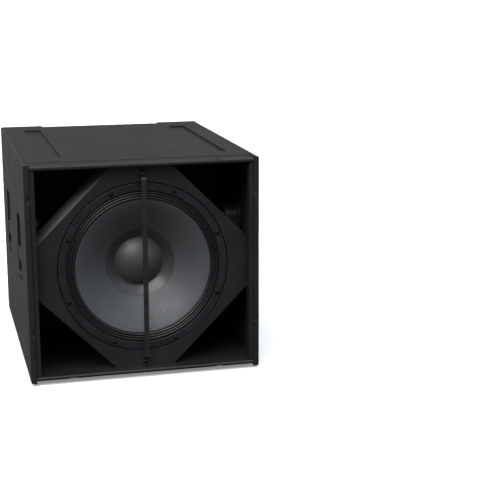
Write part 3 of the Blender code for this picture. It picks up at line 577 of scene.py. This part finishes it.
def flared_grip_cutter(side, centre):
    """Cutter of one grip opening, flaring out over the last few millimetres for a rounded lip."""
    lip = 0.0035
    outer = side * WIDTH / 2
    loops = [[(outer - side * 0.03, y, z) for y, z in grip_loop(centre)]]
    for k in range(6):
        turn = k / 5 * pi / 2
        inset = -lip * (1 - cos(turn))
        x = outer - side * lip * (1 - sin(turn))
        loops.append([(x, y, z) for y, z in grip_loop(centre, inset)])
    loops.append([(outer + side * 0.01, y, z) for y, z in grip_loop(centre, -lip)])
    return stack(loops)


def side_panel(name, side):
    outer, inner = side * WIDTH / 2, side * X_IN
    near = 1e-5

    def on_outside(p):
        return abs(p.x - outer) < near and abs(p.y - REAR_FACE) > near

    def on_rim(p):
        return abs(p.x - inner) < near and abs(p.y - Y_FRONT) < near

    board = block((outer, Y_FRONT, Z_LOW), (inner, REAR_FACE, Z_HIGH),
                  ((0.006, on_outside), (0.0022, on_rim)), 6)
    cutters = [flared_grip_cutter(side, y) for y in GRIP_Y]
    for low, high in CLIP_Z:
        cutters.append(bar_box((inner - side * 0.01, Y_FRONT - 0.01, Z_LOW + low),
                               (inner + side * 0.01, Y_FRONT + 0.004, Z_LOW + high), 0.0015))
    for z in RIM_SCREW_Z:
        cutters.append(peg(0.0024, 20, (side * 0.3072, Z_LOW + z), -0.01, 0.01, upright(Y_FRONT)))
    stand_in(name, carved(board, cutters, bevel=0.0006), PAINT)


LIP = 0.052
POCKET_X, POCKET_Y = (0.203, 0.254), (Y_FRONT + 0.117, Y_FRONT + 0.699)
POLE = (0.0, Y_FRONT + 0.413)


def notch_cutters(level, side):
    """The two clip notches in the front edge of the top (side 1) or bottom (side -1) panel."""
    return [bar_box((x - 0.010, Y_FRONT - 0.01, level - side * 0.0025),
                    (x + 0.010, Y_FRONT + 0.012, level + side * 0.01), 0.0018) for x in (-0.203, 0.203)]


def top_panel():
    level = Z_HIGH - 0.0035
    section = fillet([(Y_FRONT, CEILING, 0.0045), (REAR_FACE, CEILING), (REAR_FACE, Z_HIGH, 0.0025),
                      (Y_FRONT + LIP, Z_HIGH, 0.0015), (Y_FRONT + LIP - 0.0005, level, 0.0008),
                      (Y_FRONT, level, 0.0055)])
    half = X_IN - GAP
    board = prism([section], -half, half, sideways(0.0))
    cutters = notch_cutters(level, 1)
    for side in (-1, 1):
        (x0, x1), (y0, y1) = POCKET_X, POCKET_Y
        loop = rounded_rectangle((side * x0, y0), (side * x1, y1), 0.0035, 5)
        cutters.append(prism([loop], Z_HIGH - 0.0075, Z_HIGH + 0.01, None, 0.0012))
    place = Matrix.Translation((*POLE, Z_HIGH))
    well = [(0, -0.04), (0.0184, -0.04), (0.0184, -0.0034), (0.0684, -0.0034), (0.0684, -0.0020),
            (0.0702, 0.0), (0.0702, 0.01), (0, 0.01)]
    cutters.append(lathe(well, 96, place, closed=False))
    stand_in("top_panel", carved(board, cutters, bevel=0.0007), PAINT)


def bottom_panel():
    level = Z_LOW + 0.0063
    section = fillet([(Y_FRONT, level, 0.0050), (Y_FRONT + LIP - 0.0005, level, 0.0008),
                      (Y_FRONT + LIP, Z_LOW, 0.0015), (REAR_FACE, Z_LOW, 0.0025), (REAR_FACE, FLOOR),
                      (Y_FRONT, FLOOR, 0.0045)])
    half = X_IN - GAP
    board = prism([section], -half, half, sideways(0.0))
    stand_in("bottom_panel", carved(board, notch_cutters(level, -1), bevel=0.0007), PAINT)


def skids():
    """Two runners, a little smaller than the pockets that they drop into."""
    clear = 0.003
    (x0, x1), (y0, y1) = POCKET_X, POCKET_Y
    for side, name in ((-1, "skid_left"), (1, "skid_right")):
        loop = rounded_rectangle((side * (x0 + clear), y0 + clear),
                                 (side * (x1 - clear), y1 - clear), 0.006, 6)
        runner = prism([loop], 0.0, Z_LOW - GAP, None, 0.0018)
        screws = [peg(0.0048, 24, (side * (x0 + x1) / 2, y), -0.01, 0.0032)
                  for y in (-0.26, -0.09, 0.09, 0.27)]
        stand_in(name, carved(runner, screws, bevel=0.0004), PLASTIC)


def pole_plate():
    place = Matrix.Translation((*POLE, Z_HIGH))
    profile = [(0, -0.026), (0.0080, -0.026)]
    for k in range(9):                       # the thread's ridges, as rings
        z = -0.0245 + k * 0.0026
        profile += [(0.0100, z), (0.0092, z + 0.0013)]
    profile += fillet([(0.0100, -0.0022), (0.0122, 0.0), (0.0680, 0.0, 0.0022), (0.0680, -0.0030, 0.0003),
                       (0.0180, -0.0030), (0.0180, -0.031, 0.001), (0.0, -0.031)], closed=False)
    stand_in("pole_mount_plate", lathe(profile, 96, place, closed=False), PAINT)


def grip_cup(name, side, centre):
    """Moulded cup: deep well with a rounded floor, a flange behind the panel and a bar across."""
    outer = WIDTH / 2 - 0.001
    floor = outer - 0.058

    def hollow(inset, bottom, top, bend):
        loops = []
        for k in range(7):
            turn = k / 6 * pi / 2
            shrink = bend * (1 - sin(turn))
            loops.append([(side * (bottom + bend * (1 - cos(turn))), y, z)
                          for y, z in grip_loop(centre, inset + shrink)])
        loops.append([(side * top, y, z) for y, z in grip_loop(centre, inset)])
        return stack(loops)

    shell = hollow(GAP, floor, outer, 0.014)
    well = hollow(0.0035, floor + 0.0035, outer + 0.02, 0.011)
    behind = X_IN - GAP - 0.0035
    flange_loop = rounded_rectangle((centre - GRIP_HALF - 0.014, GRIP_Z[0] - 0.014),
                                    (centre + GRIP_HALF + 0.014, GRIP_Z[1] + 0.014), 0.044)
    flange = prism([flange_loop], 0, 0.0035, sideways(behind if side > 0 else -behind - 0.0035))
    shape = carved(carved(shell, (), (flange,)), (well,))
    half_length = GRIP_HALF - 0.0020
    xs = sorted((side * (outer - 0.0005), side * (outer - 0.018)))
    section = fillet([(xs[0], GRIP_BAR_Z[0], 0.007), (xs[1], GRIP_BAR_Z[0], 0.007),
                      (xs[1], GRIP_BAR_Z[1], 0.007), (xs[0], GRIP_BAR_Z[1], 0.007)])
    bar = prism([section], -half_length, half_length, upright(centre))
    stand_in(name, carved(shape, (), (bar,), bevel=0.0008), PLASTIC)


# ==== front =======================================================================================
BAR_SCREW = 0.268                                 # from the middle of the support bar to each screw


def bolt_spots(scale=1.0):
    """Where a driver's eight bolts are, seen along its axis."""
    turns = [(k + 0.5) * pi / 4 for k in range(8)]
    return [(BOLT_CIRCLE * scale * cos(turn), BOLT_CIRCLE * scale * sin(turn)) for turn in turns]


def bar_screw_holes(radius, sides, low, high):
    return [peg(radius, sides, (0, Z_MID + side * BAR_SCREW), low, high, upright(BAFFLE_Y))
            for side in (-1, 1)]


def front_baffle():
    x, z = X_IN - GAP, CEILING - GAP - Z_MID
    quarter = [(x, CHAMFER - x), (CHAMFER - z, z)]
    loop = []
    for sx, sz, order in ((1, 1, 1), (-1, 1, -1), (-1, -1, 1), (1, -1, -1)):
        loop += [(sx * px, Z_MID + sz * pz) for px, pz in quarter[::order]]
    board = prism([loop], 0.0, 0.024, upright(BAFFLE_Y))
    well = [(0, -0.06), (0.2105, -0.06), (0.2105, -0.0126), (0.2349, -0.0126), (0.2349, -PROUD - 0.0008),
            (0.2357, -PROUD + 0.0001), (0.2357, 0.03), (0, 0.03)]
    cutters = [lathe(well, FINE, FRONT_AXIS, closed=False)]
    cutters += [peg(0.0033, 16, spot, -0.04, 0.01, FRONT_AXIS) for spot in bolt_spots()]
    cutters += bar_screw_holes(0.0028, 16, -0.01, 0.02)
    made = stand_in("front_baffle", carved(board, cutters, bevel=0.0016, bevel_angle=30, segments=3),
                    PAINT)
    # the baffle's chamfer faces take the corner walls' lighter paint: painted light
    made.data.materials.append(WALL_PAINTED_LIGHT)
    for face in made.data.polygons:                # the chamfers look like the walls behind them
        middle = face.center
        diagonal = abs(face.normal.x) > 0.3 and abs(abs(face.normal.x) - abs(face.normal.z)) < 0.05
        if diagonal and abs(middle.x) + abs(middle.z - Z_MID) > CHAMFER - 0.004:
            face.material_index = 1


def support_bar():
    """Strap with rounded bends, following the CAD piece's line."""
    front, foot, thick = 0.004, 0.033 - GAP, 0.003
    slope = thick * 0.8
    half = [(foot - thick, 0.278, 0.0012), (foot - thick, 0.258, 0.006), (front, 0.250, 0.007)]
    back = [(foot, 0.278, 0.0012), (foot, 0.258 - slope, 0.009), (front + thick, 0.250 - slope, 0.004)]
    ring = half + [(y, -z, r) for y, z, r in half[::-1]] + [(y, -z, r) for y, z, r in back] + back[::-1]
    loop = fillet([(Y_FRONT + y, Z_MID + z, r) for y, z, r in ring])
    strap = prism([loop], -0.007, 0.007, sideways(0.0), 0.0007)
    strap = carved(strap, bar_screw_holes(0.0028, 20, -0.02, 0.01))
    stand_in("grille_support_bar", strap, STRAP)


def screw_mesh(head_r, head_h, shank_r, length, place, socket_r, dome=0.6):
    """Screw with a rounded head and a hexagon socket, its head's underside just above z = 0."""
    top = GAP + head_h
    profile = fillet([(0, top), (head_r * dome, top, head_h * 0.5),
                      (head_r, GAP + head_h * 0.35, head_h * 0.25), (head_r, GAP), (shank_r, GAP),
                      (shank_r, -length + 0.001, 0.0004), (0, -length)], False)
    body = lathe(profile, 28, Matrix.Identity(4), closed=False)
    mesh = carved(body, (peg(socket_r, 6, (0.0, 0.0), top - head_h * 0.62, top + 0.01),))
    mesh.transform(place)
    return sharpened(mesh, 30)


def support_screws():
    for side, name in ((1, "upper"), (-1, "lower")):
        place = (Matrix.Translation((0, BAFFLE_Y - GAP - 0.003, Z_MID + side * BAR_SCREW))
                 @ Matrix.Rotation(pi / 2, 4, "X"))
        stand_in("support_bar_screw_" + name, screw_mesh(0.0055, 0.0026, 0.0025, 0.018, place, 0.0019),
                 BLACK_BOLT)


# ==== rear ========================================================================================
REAR_WELL = 0.1829                                # radius of the hole that the rear driver's ring lies in
PLATE_Y = Y_REAR - 0.0027                         # the connector plate's face, let into the pillar
PLATE_THICK = 0.0025
SOCKET_X, SOCKET_Z = 0.246, {"link_socket": 0.269, "input_socket": 0.322}


def connector_hole(end):
    """Cutter, up to y = end, of the opening behind the connector plate."""
    return block((0.205, REAR_FACE - 0.03, Z_LOW + 0.230), (0.285, end, Z_LOW + 0.362))


def rear_baffle():
    x, half, top = X_IN - GAP, 0.092, CEILING - GAP
    port = CEILING - 0.0785
    upper = [(x, top), (half, top), (half, port, 0.004), (-half, port, 0.004), (-half, top), (-x, top)]
    lower = [(p[0], 2 * Z_MID - p[1], *p[2:]) for p in upper[::-1]]
    loop = fillet(upper + lower)
    bm = opened(prism([loop], 0.0, 0.018, upright(REAR_FACE - 0.018)))

    def on_lip(edge):
        a, b = (v.co for v in edge.verts)
        middle = (a + b) / 2
        face = abs(a.y - REAR_FACE) < 1e-5 and abs(b.y - REAR_FACE) < 1e-5
        inside = abs(middle.x) < half + 1e-4 and abs(abs(middle.z - Z_MID) - (top - Z_MID)) > 0.001
        return face and inside and edge.calc_face_angle(0) > 0.5

    lips = [e for e in bm.edges if on_lip(e)]
    bmesh.ops.bevel(bm, geom=lips, offset=0.0045, segments=6, profile=0.5, affect="EDGES")
    board = to_mesh(bm)
    throat, step, face = 0.2105 * REAR_SCALE, -0.0126 * REAR_SCALE, -PROUD * REAR_SCALE
    well = [(0, -0.06), (throat, -0.06), (throat, step), (REAR_WELL, step), (REAR_WELL, face - 0.0006),
            (REAR_WELL + 0.0007, face + 0.0001), (REAR_WELL + 0.0007, 0.03), (0, 0.03)]
    cutters = [lathe(well, FINE, REAR_AXIS, closed=False), connector_hole(REAR_FACE + 0.01)]
    cutters += [peg(0.0026, 16, spot, -0.03, 0.01, REAR_AXIS) for spot in bolt_spots(REAR_SCALE)]
    stand_in("rear_baffle", carved(board, cutters, bevel=0.0006), PAINT)


CASTORS = [(x, Z_LOW + z) for x in (0.2165, 0.2795) for z in (0.0385, 0.1175, 0.474, 0.5535)]
LEDGE_SCREWS = (0.0240, 0.5520)


def rear_pillar(name, side):
    outer = side * WIDTH / 2
    near = 1e-5

    def corner(p):
        return abs(p.x - outer) < near and abs(p.y - Y_REAR) < near

    def ends(p):
        level = abs(p.z - Z_HIGH) < 1e-4 or abs(p.z - Z_LOW) < 1e-4
        return level and (abs(p.y - Y_REAR) < 0.003 or abs(p.x - outer) < 0.003)

    board = block((outer, REAR_FACE + GAP, Z_LOW), (side * 0.163, Y_REAR, Z_HIGH),
                  ((0.008, corner), (0.0042, ends)), 6)
    ledge, ledge_y = (side * 0.150, side * 0.188), Y_REAR - 0.012
    cutters = [block((ledge[0], ledge_y, 0.0), (ledge[1], Y_REAR + 0.01, Z_HIGH + 0.01))]
    for low in (Z_HIGH - 0.005, Z_LOW + 0.005 - 0.02):
        cutters.append(block((ledge[0], REAR_FACE - 0.01, low), (ledge[1], Y_REAR + 0.01, low + 0.02)))
    cutters += [peg(0.0062, 32, (side * x, z), -0.016, 0.01, upright(Y_REAR)) for x, z in CASTORS]
    cutters += [peg(0.0026, 20, (side * 0.182, Z_LOW + z), -0.010, 0.004, upright(ledge_y))
                for z in LEDGE_SCREWS]
    well = [(0, -0.02), (REAR_WELL, -0.02), (REAR_WELL, 0.03), (0, 0.03)]
    cutters.append(lathe(well, FINE, REAR_AXIS, closed=False))
    if side > 0:
        bed = PLATE_Y - PLATE_THICK - GAP
        cutters.append(block((0.1917, bed, Z_LOW + 0.2087), (0.2983, Y_REAR + 0.01, Z_LOW + 0.3833)))
        cutters.append(connector_hole(Y_REAR - 0.001))
    stand_in(name, carved(board, cutters, bevel=0.0010, segments=3), PAINT)
    castor_inserts(side)


def castor_inserts(side):
    """Threaded sleeves let into the pillar for castor bolts."""
    profile = fillet([(0.0030, -0.0150), (0.0030, -0.0022), (0.0036, -0.0014), (0.0059, -0.0014, 0.0004),
                      (0.0059, -0.0150)])
    for number, (x, z) in enumerate(CASTORS, 1):
        place = Matrix.Translation((side * x, Y_REAR, z)) @ Matrix.Rotation(-pi / 2, 4, "X")
        name = "castor_insert_%s_%d" % ("left" if side < 0 else "right", number)
        show(name, lathe(profile, 28, place), DARK_ZINC)


def connector_plate():
    place = upright(PLATE_Y - PLATE_THICK)
    loop = rounded_rectangle((0.192, Z_LOW + 0.209), (0.298, Z_LOW + 0.383), 0.0015, 4)
    plate = prism([loop], 0.0, PLATE_THICK, place, 0.0004)
    cutters = [peg(0.0121, 48, (SOCKET_X, Z_LOW + z), -0.01, 0.01, place) for z in SOCKET_Z.values()]
    stand_in("connector_plate", carved(plate, cutters), PLATE_FINISH)
    screws = [(x, z) for z in (0.340, 0.248) for x in (0.2862, 0.2095)]
    for number, (x, z) in enumerate(screws, 1):
        spot = Matrix.Translation((x, PLATE_Y - 0.0002, Z_LOW + z)) @ Matrix.Rotation(-pi / 2, 4, "X")
        show("connector_plate_screw_%d" % number, screw_mesh(0.0034, 0.0018, 0.0014, 0.0015, spot, 0.0013),
             BLACK_BOLT)
    plate_print()


def plate_print():
    """Plain rules, boxes and blocks where a real plate is printed; they carry no words or marks."""
    above, ink, line = 0.00003, 0.00016, 0.0005
    marks = []

    def mark(x0, x1, z0, z1):
        loop = [(x0, Z_LOW + z0), (x1, Z_LOW + z0), (x1, Z_LOW + z1), (x0, Z_LOW + z1)]
        marks.append(prism([loop], above, ink, upright(PLATE_Y)))

    def frame_mark(x0, x1, z0, z1):
        mark(x0, x1, z0, z0 + line)
        mark(x0, x1, z1 - line, z1)
        for x in (x0, x1 - line):
            mark(x, x + line, z0 + line + above, z1 - line - above)

    frame_mark(0.2740, 0.2915, 0.3585, 0.3770)
    frame_mark(0.2765, 0.2890, 0.3612, 0.3743)
    mark(0.2180, 0.2685, 0.3765, 0.3792)
    for k, end in enumerate((0.2060, 0.2130, 0.2090)):
        mark(end, 0.2685, 0.3715 - k * 0.0034, 0.3725 - k * 0.0034)
    for z in (0.3190, 0.2660):
        mark(0.2730, 0.2880, z + 0.0020, z + 0.0045)
        mark(0.2150, 0.2210, z + 0.0045, z + 0.0062)
        mark(0.2010, 0.2210, z + 0.0020, z + 0.0030)
    mark(0.2235, 0.2725, 0.2185, 0.2360)
    frame_mark(0.2850, 0.2905, 0.2215, 0.2300)
    frame_mark(0.2765, 0.2815, 0.2215, 0.2300)
    frame_mark(0.2020, 0.2070, 0.2200, 0.2340)
    mark(0.2060, 0.2900, 0.2136, 0.2146)
    show("connector_plate_print", joined(*marks), WHITE_PRINT)
    bars = []
    for k, wide in enumerate((0.0040, 0.0070, 0.0030, 0.0060, 0.0045)):
        left = 0.2265 + k * 0.0092
        loop = [(left, Z_LOW + 0.2215), (left + wide, Z_LOW + 0.2215),
                (left + wide, Z_LOW + 0.2330), (left, Z_LOW + 0.2330)]
        bars.append(prism([loop], ink + 0.00002, ink + 0.00010, upright(PLATE_Y)))
    show("connector_plate_label_bars", joined(*bars), GREY_PRINT)
    dot = peg(0.0030, 24, (0.2160, Z_LOW + 0.2290), above, ink, upright(PLATE_Y))
    show("connector_plate_print_dot", dot, GREEN_PRINT)


def socket(name, z):
    """Four-pole speaker socket: squared flange, collar, keyed well with a centre post, two fixing holes."""
    place = upright(PLATE_Y) @ Matrix.Translation((SOCKET_X, Z_LOW + z, 0))
    flange = prism([rounded_rectangle((-0.013, -0.0165), (0.013, 0.0165), 0.003, 6)],
                   GAP, GAP + 0.002, place, 0.0006)
    body = carved(flange, (), (peg(0.0118, 48, (0.0, 0.0), -0.034, 0.001, place),))
    ring = [circle(0.0102, 48), circle(0.0046, 48)[::-1]]
    cutters = [prism(ring, -0.020, 0.010, place)]
    for k in range(3):
        turn = (0.25 + k / 3) * 2 * pi
        cutters.append(peg(0.0013, 16, (0.0104 * cos(turn), 0.0104 * sin(turn)), -0.014, 0.010, place))
    for side in (-1, 1):
        cutters.append(peg(0.0015, 20, (side * 0.0100, -side * 0.0135), 0.0006, 0.010, place))
    stand_in(name, carved(body, cutters, bevel=0.00035), SOCKET_PLASTIC)


# ==== drivers =====================================================================================
CONE_IN, CONE_OUT = 0.0523, 0.1860                # the cone's radii at its neck and at the surround


def cone_height(radius):
    inward = (CONE_OUT - radius) / (CONE_OUT - CONE_IN)
    return -0.006 - 0.086 * inward ** 1.25


def cone_profile(ribbed):
    """Front of the cone, with fine concentric ribs outside the smooth inner ring, and its plain back."""
    rib, thick, back_steps = 0.00045, 0.0019, 24
    front = []
    radius = CONE_IN
    while radius < CONE_OUT - 1e-6:
        height = cone_height(radius)
        if ribbed and RIB_START < radius < RIB_END:
            height += rib * (0.5 - 0.5 * cos(2 * pi * (radius - RIB_START) / RIB_PITCH)) - 0.0002
        elif ribbed and radius < RIB_START - 0.0012:
            height += 0.0004
        front.append((radius, height))
        radius += RIB_PITCH / 12 if ribbed and radius > RIB_START - 0.001 else 0.0016
    front.append((CONE_OUT, cone_height(CONE_OUT)))
    radii = [CONE_IN + (CONE_OUT - CONE_IN) * k / back_steps for k in range(back_steps + 1)]
    return front + [(r, cone_height(r) - thick) for r in radii[::-1]]


def cap_profile(radius):
    """Dust cap: a slice of a sphere with a small glued foot on the cone."""
    rise, thick = 0.030, 0.0015
    base = cone_height(radius) + GAP
    ball = (radius ** 2 + rise ** 2) / (2 * rise)
    centre = base + rise - ball

    def arc(size, floor):
        steepest = acos((floor - centre) / size)
        return [(size * sin(steepest * k / 28), centre + size * cos(steepest * k / 28)) for k in range(29)]

    outer = arc(ball, base + 0.0009)
    foot = [(radius + 0.0012, base + 0.0007), (radius + 0.0016, base + 0.0002), (radius - 0.0004, base)]
    return outer + foot + arc(ball - thick, base)[::-1]


def surround_profile():
    """Three half rolls between a land glued to the cone and one glued to the basket."""
    start, end, base = 0.1863, 0.2117, -0.0082
    first, last = start + 0.0022, end - 0.0026
    samples = 60
    top, under = [(start, base + 0.0022)], []
    for k in range(samples + 1):
        share = k / samples
        radius, swell = first + (last - first) * share, abs(sin(share * 3 * pi))
        level = 0.0022 + (0.0014 - 0.0022) * share
        top.append((radius, base + level + 0.0038 * swell ** 0.72))
        under.append((radius, base + 0.0003 + 0.0030 * swell ** 1.1))
    top.append((end, base + 0.0014))
    return top + [(end, base)] + under[::-1] + [(start, base + 0.0006)]


def spider_profile():
    """Corrugated disc with three waves and flat rims."""
    inner, outer = 0.0535, 0.1120
    samples, thick = 60, 0.0012
    top = []
    for k in range(samples + 1):
        share = k / samples
        wave = 0.5 - 0.5 * cos(share * 3 * 2 * pi)
        top.append((inner + (outer - inner) * share, -0.112 + 0.0030 * wave))
    return top + [(r, z - thick) for r, z in top[::-1]]


def basket_profile():
    """Ring with a rounded outer edge and an inner step, conical wall, and the pot that holds the magnet."""
    return fillet([(0.2120, -0.0004, 0.0004), (0.2128, 0.0, 0.0002), (RING_R, 0.0, 0.0012),
                   (RING_R, -0.011, 0.0006), (0.2085, -0.011), (0.2060, -0.030, 0.006),
                   (0.1200, -0.125, 0.006), (0.0950, -0.128, 0.003), (0.0950, -0.140, 0.0015),
                   (0.0600, -0.140, 0.0008), (0.0600, -0.134, 0.0008), (0.0880, -0.134, 0.002),
                   (0.0950, -0.1165, 0.002), (0.1165, -0.1165, 0.003), (0.2003, -0.028, 0.004),
                   (0.2003, -0.0085, 0.0005), (0.2120, -0.0085)], steps=4)


def ring_profile(inner, outer, top, bottom, rounding):
    """A flat ring's section."""
    corners = ((inner, top), (outer, top), (outer, bottom), (inner, bottom))
    return fillet([(*corner, rounding) for corner in corners])


def scaled(profile, scale):
    return [(r * scale, z * scale) for r, z in profile]


def radial_blend(obj):
    """Unparents a ring and bakes its placement into its mesh; it is attached to no body."""
    obj.parent = None
    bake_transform(obj)


def flexing(name, mesh, finish, node):
    made = placed(name, mesh)
    mesh.name = name
    mesh.materials.append(finish)
    radial_blend(made)
    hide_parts(node)


def basket_windows(axis, scale):
    """Cutters of the eight windows in a basket's wall and of its eight bolt holes."""
    cutters = []
    for k in range(8):
        middle = k * pi / 4
        corners = ((0.105, -0.27, 0.008), (0.235, -0.30), (0.235, 0.30), (0.105, 0.27, 0.008))
        loop = fillet([(r * scale * cos(middle + a), r * scale * sin(middle + a), *rest)
                       for r, a, *rest in corners])
        cutters.append(prism([loop], -0.118 * scale, -0.034 * scale, axis))
    for spot in bolt_spots(scale):
        cutters.append(peg(0.0033 * scale, 16, spot, -0.03, 0.01, axis))
        cutters.append(peg(0.0068 * scale, 28, spot, -0.0006, 0.01, axis))
    return cutters


def driver(prefix, axis, scale, cap_radius, ribbed):
    """One loudspeaker, drawn at the front driver's size and scaled, but for its dust cap."""
    moving = prefix + "_moving_assembly"

    def piece(name, profile, finish, body="cabinet", steps=96, closed=True):
        mesh = lathe(scaled(profile, scale), steps, axis, closed)
        stand_in("%s_%s" % (prefix, name), mesh, finish, body)

    basket = lathe(scaled(basket_profile(), scale), FINE, axis)
    stand_in(prefix + "_driver_basket", carved(basket, basket_windows(axis, scale), bevel=0.0004), CAST)
    piece("driver_gasket", ring_profile(0.2135, 0.2310, -0.0113, -0.0123, 0.0003), RUBBER,
          steps=FINE)
    piece("cone", cone_profile(ribbed), RIBBED_PAPER if ribbed else SMOOTH_PAPER, moving, FINE)
    piece("dust_cap", cap_profile(cap_radius / scale), CAP_PAPER, moving, closed=False)
    coil = [(0.0502, -0.086), (0.0516, -0.086), (0.0516, -0.139), (0.0530, -0.139), (0.0530, -0.155),
            (0.0502, -0.155)]
    piece("voice_coil", fillet([(r, z, 0.0002) for r, z in coil]), COIL, moving)
    piece("top_plate", ring_profile(0.0545, 0.1000, -0.1403, -0.1503, 0.0006), ZINC)
    piece("magnet", ring_profile(0.0600, 0.1100, -0.1506, -0.1756, 0.0018), FERRITE)
    yoke = [(0.0150, -0.139, 0.001), (0.0490, -0.139, 0.0015), (0.0490, -0.1760), (0.1050, -0.1760, 0.0015),
            (0.1050, -0.1880, 0.0025), (0.0150, -0.1880, 0.0015)]
    piece("yoke", fillet(yoke), ZINC)
    flexing(prefix + "_surround_detailed", lathe(scaled(surround_profile(), scale), FINE, axis, True, 50),
            SURROUND, prefix + "_surround")
    flexing(prefix + "_spider_detailed", lathe(scaled(spider_profile(), scale), 96, axis),
            SPIDER, prefix + "_spider")


def driver_bolts():
    sunk = 0.0006
    for number, ((x, z), (rear_x, rear_z)) in enumerate(zip(bolt_spots(), bolt_spots(REAR_SCALE)), 1):
        place = FRONT_AXIS @ Matrix.Translation((x, z, -sunk))
        bolt = screw_mesh(0.0055, 0.0046, 0.0029, 0.022, place, 0.0026, 0.75)
        stand_in("front_driver_bolt_%d" % number, bolt, BLACK_BOLT)
        place = REAR_AXIS @ Matrix.Translation((rear_x, rear_z, -sunk))
        bolt = screw_mesh(0.0045, 0.0038, 0.0023, 0.016, place, 0.0021, 0.75)
        show("rear_driver_bolt_%d" % number, bolt, BLACK_BOLT)


# ==== CAD nodes that keep their own shape =========================================================
def finish_node(name, finish, bevel=None):
    node = NODES[name]
    node.data.materials.clear()
    node.data.materials.append(finish)
    weld_corners(node)
    if bevel:
        soften(node, bevel).harden_normals = True


def plain_nodes():
    for height in ("upper", "lower"):
        for side in ("left", "right"):
            # the corner walls take the lighter paint: painted light
            finish_node("corner_port_wall_%s_%s" % (height, side), WALL_PAINTED_LIGHT, 0.0006)
        # the ducts take the darker port paint: partly painted shade
        finish_node("rear_port_duct_" + height, PORT_SHADE_PAINT, 0.0008)
    for side in ("left", "right"):
        finish_node("grille_rail_" + side, PAINT, 0.0012)
    # the divider takes the darker port paint: partly painted shade
    finish_node("divider_panel", PORT_SHADE_PAINT, 0.0006)
    for end in ("front", "rear"):
        finish_node(end + "_driver_lead", LEAD)


# ==== studio ======================================================================================
def staged(name, mesh, material):
    """A piece of the studio: the camera sees it, but it throws no light or reflection on the cabinet."""
    mesh.materials.append(material)
    made = placed(name, mesh)
    made.visible_diffuse = False
    made.visible_glossy = False
    return made


def pale_studio(name, glow):
    f = Finish(name, (0.90, 0.90, 0.90), 0.85, specular=0.1)
    f.tint(f.clouded(f.noise(0.6, 2.0, 0.5), (0.89, 0.89, 0.895), (0.91, 0.91, 0.915)))
    f.set("Emission Color", (1.0, 1.0, 1.0))
    f.set("Emission Strength", glow)
    return f.material


def backdrop():
    """A wide pale floor, and a far wall round it."""
    reach, tall = 26.0, 24.0
    bm = bmesh.new()
    bmesh.ops.create_grid(bm, x_segments=8, y_segments=8, size=reach)
    floor = to_mesh(bm, Matrix.Translation((0, 0, -0.0004)))
    staged("studio_floor", floor, pale_studio("studio_floor", 0.22))
    ring = lathe([(reach * 0.97, -1.0), (reach * 0.97, tall)], 64, Matrix.Identity(4), closed=False)
    staged("studio_wall", ring, pale_studio("studio_wall", 1.0)).visible_shadow = False


def sun_light(name, towards, strength, spread):
    """Even light from one side of the studio, as wide across as spread, in degrees."""
    lamp = bpy.data.lights.new(name, "SUN")
    lamp.energy = strength
    lamp.angle = radians(spread)
    made = placed(name, lamp)
    made.location = Vector(towards) * 4
    made.rotation_euler = Vector(towards).to_track_quat("Z", "Y").to_euler()


def studio():
    scene = bpy.context.scene
    world = bpy.data.worlds.new("studio")
    scene.world = world
    world.use_nodes = True
    tree = world.node_tree
    split = tree.nodes.new("ShaderNodeSeparateXYZ")
    tree.links.new(tree.nodes.new("ShaderNodeTexCoord").outputs["Generated"], split.inputs[0])
    fades = []
    for axis, numbers in (("Z", (-0.45, 1.00, 0.04, 1.15)), ("Y", (-0.40, 0.70, 1.0, 0.30))):
        fade = tree.nodes.new("ShaderNodeMapRange")
        fade.interpolation_type = "SMOOTHSTEP"
        for socket, number in zip(("From Min", "From Max", "To Min", "To Max"), numbers):
            fade.inputs[socket].default_value = number
        tree.links.new(split.outputs[axis], fade.inputs["Value"])
        fades.append(fade.outputs[0])
    strength = tree.nodes.new("ShaderNodeMath")
    strength.operation = "MULTIPLY"
    for fade, socket in zip(fades, strength.inputs):
        tree.links.new(fade, socket)
    background = tree.nodes["Background"]
    background.inputs["Color"].default_value = (0.90, 0.96, 1.0, 1.0)
    tree.links.new(strength.outputs[0], background.inputs["Strength"])
    sun_light("key_light", (-0.36, -0.45, 0.82), 3.1, 55.0)
    sun_light("rim_light", (-0.55, 0.83, 0.12), 0.28, 70.0)
    sun_light("rear_light", (0.58, 0.46, 0.67), 0.6, 50.0)
    scene.view_settings.view_transform = "Standard"
    backdrop()


def camera():
    lens = bpy.data.cameras.new("camera")
    lens.sensor_width = 36.0
    lens.lens = 88.75
    lens.clip_end = 200.0
    made = placed("camera", lens)
    made.location = (-0.5683, -3.5926, 1.1068)
    made.rotation_euler = Vector((0.2533, 0.9407, -0.2256)).to_track_quat("-Z", "Y").to_euler()
    bpy.context.scene.camera = made


side_panel("side_panel_left", -1)
side_panel("side_panel_right", 1)
top_panel()
bottom_panel()
skids()
pole_plate()
for SIDE, SIDE_NAME in ((-1, "left"), (1, "right")):
    for CENTRE, END_NAME in zip(GRIP_Y, ("front", "rear")):
        grip_cup("hand_grip_%s_%s" % (END_NAME, SIDE_NAME), SIDE, CENTRE)
front_baffle()
support_bar()
support_screws()
rear_baffle()
rear_pillar("rear_pillar_left", -1)
rear_pillar("rear_pillar_right", 1)
connector_plate()
for NAME, ABOVE_FLOOR in SOCKET_Z.items():
    socket(NAME, ABOVE_FLOOR)
driver("front", FRONT_AXIS, 1.0, 0.0673, True)
driver("rear", REAR_AXIS, REAR_SCALE, 0.0590, False)
driver_bolts()
plain_nodes()
studio()
camera()
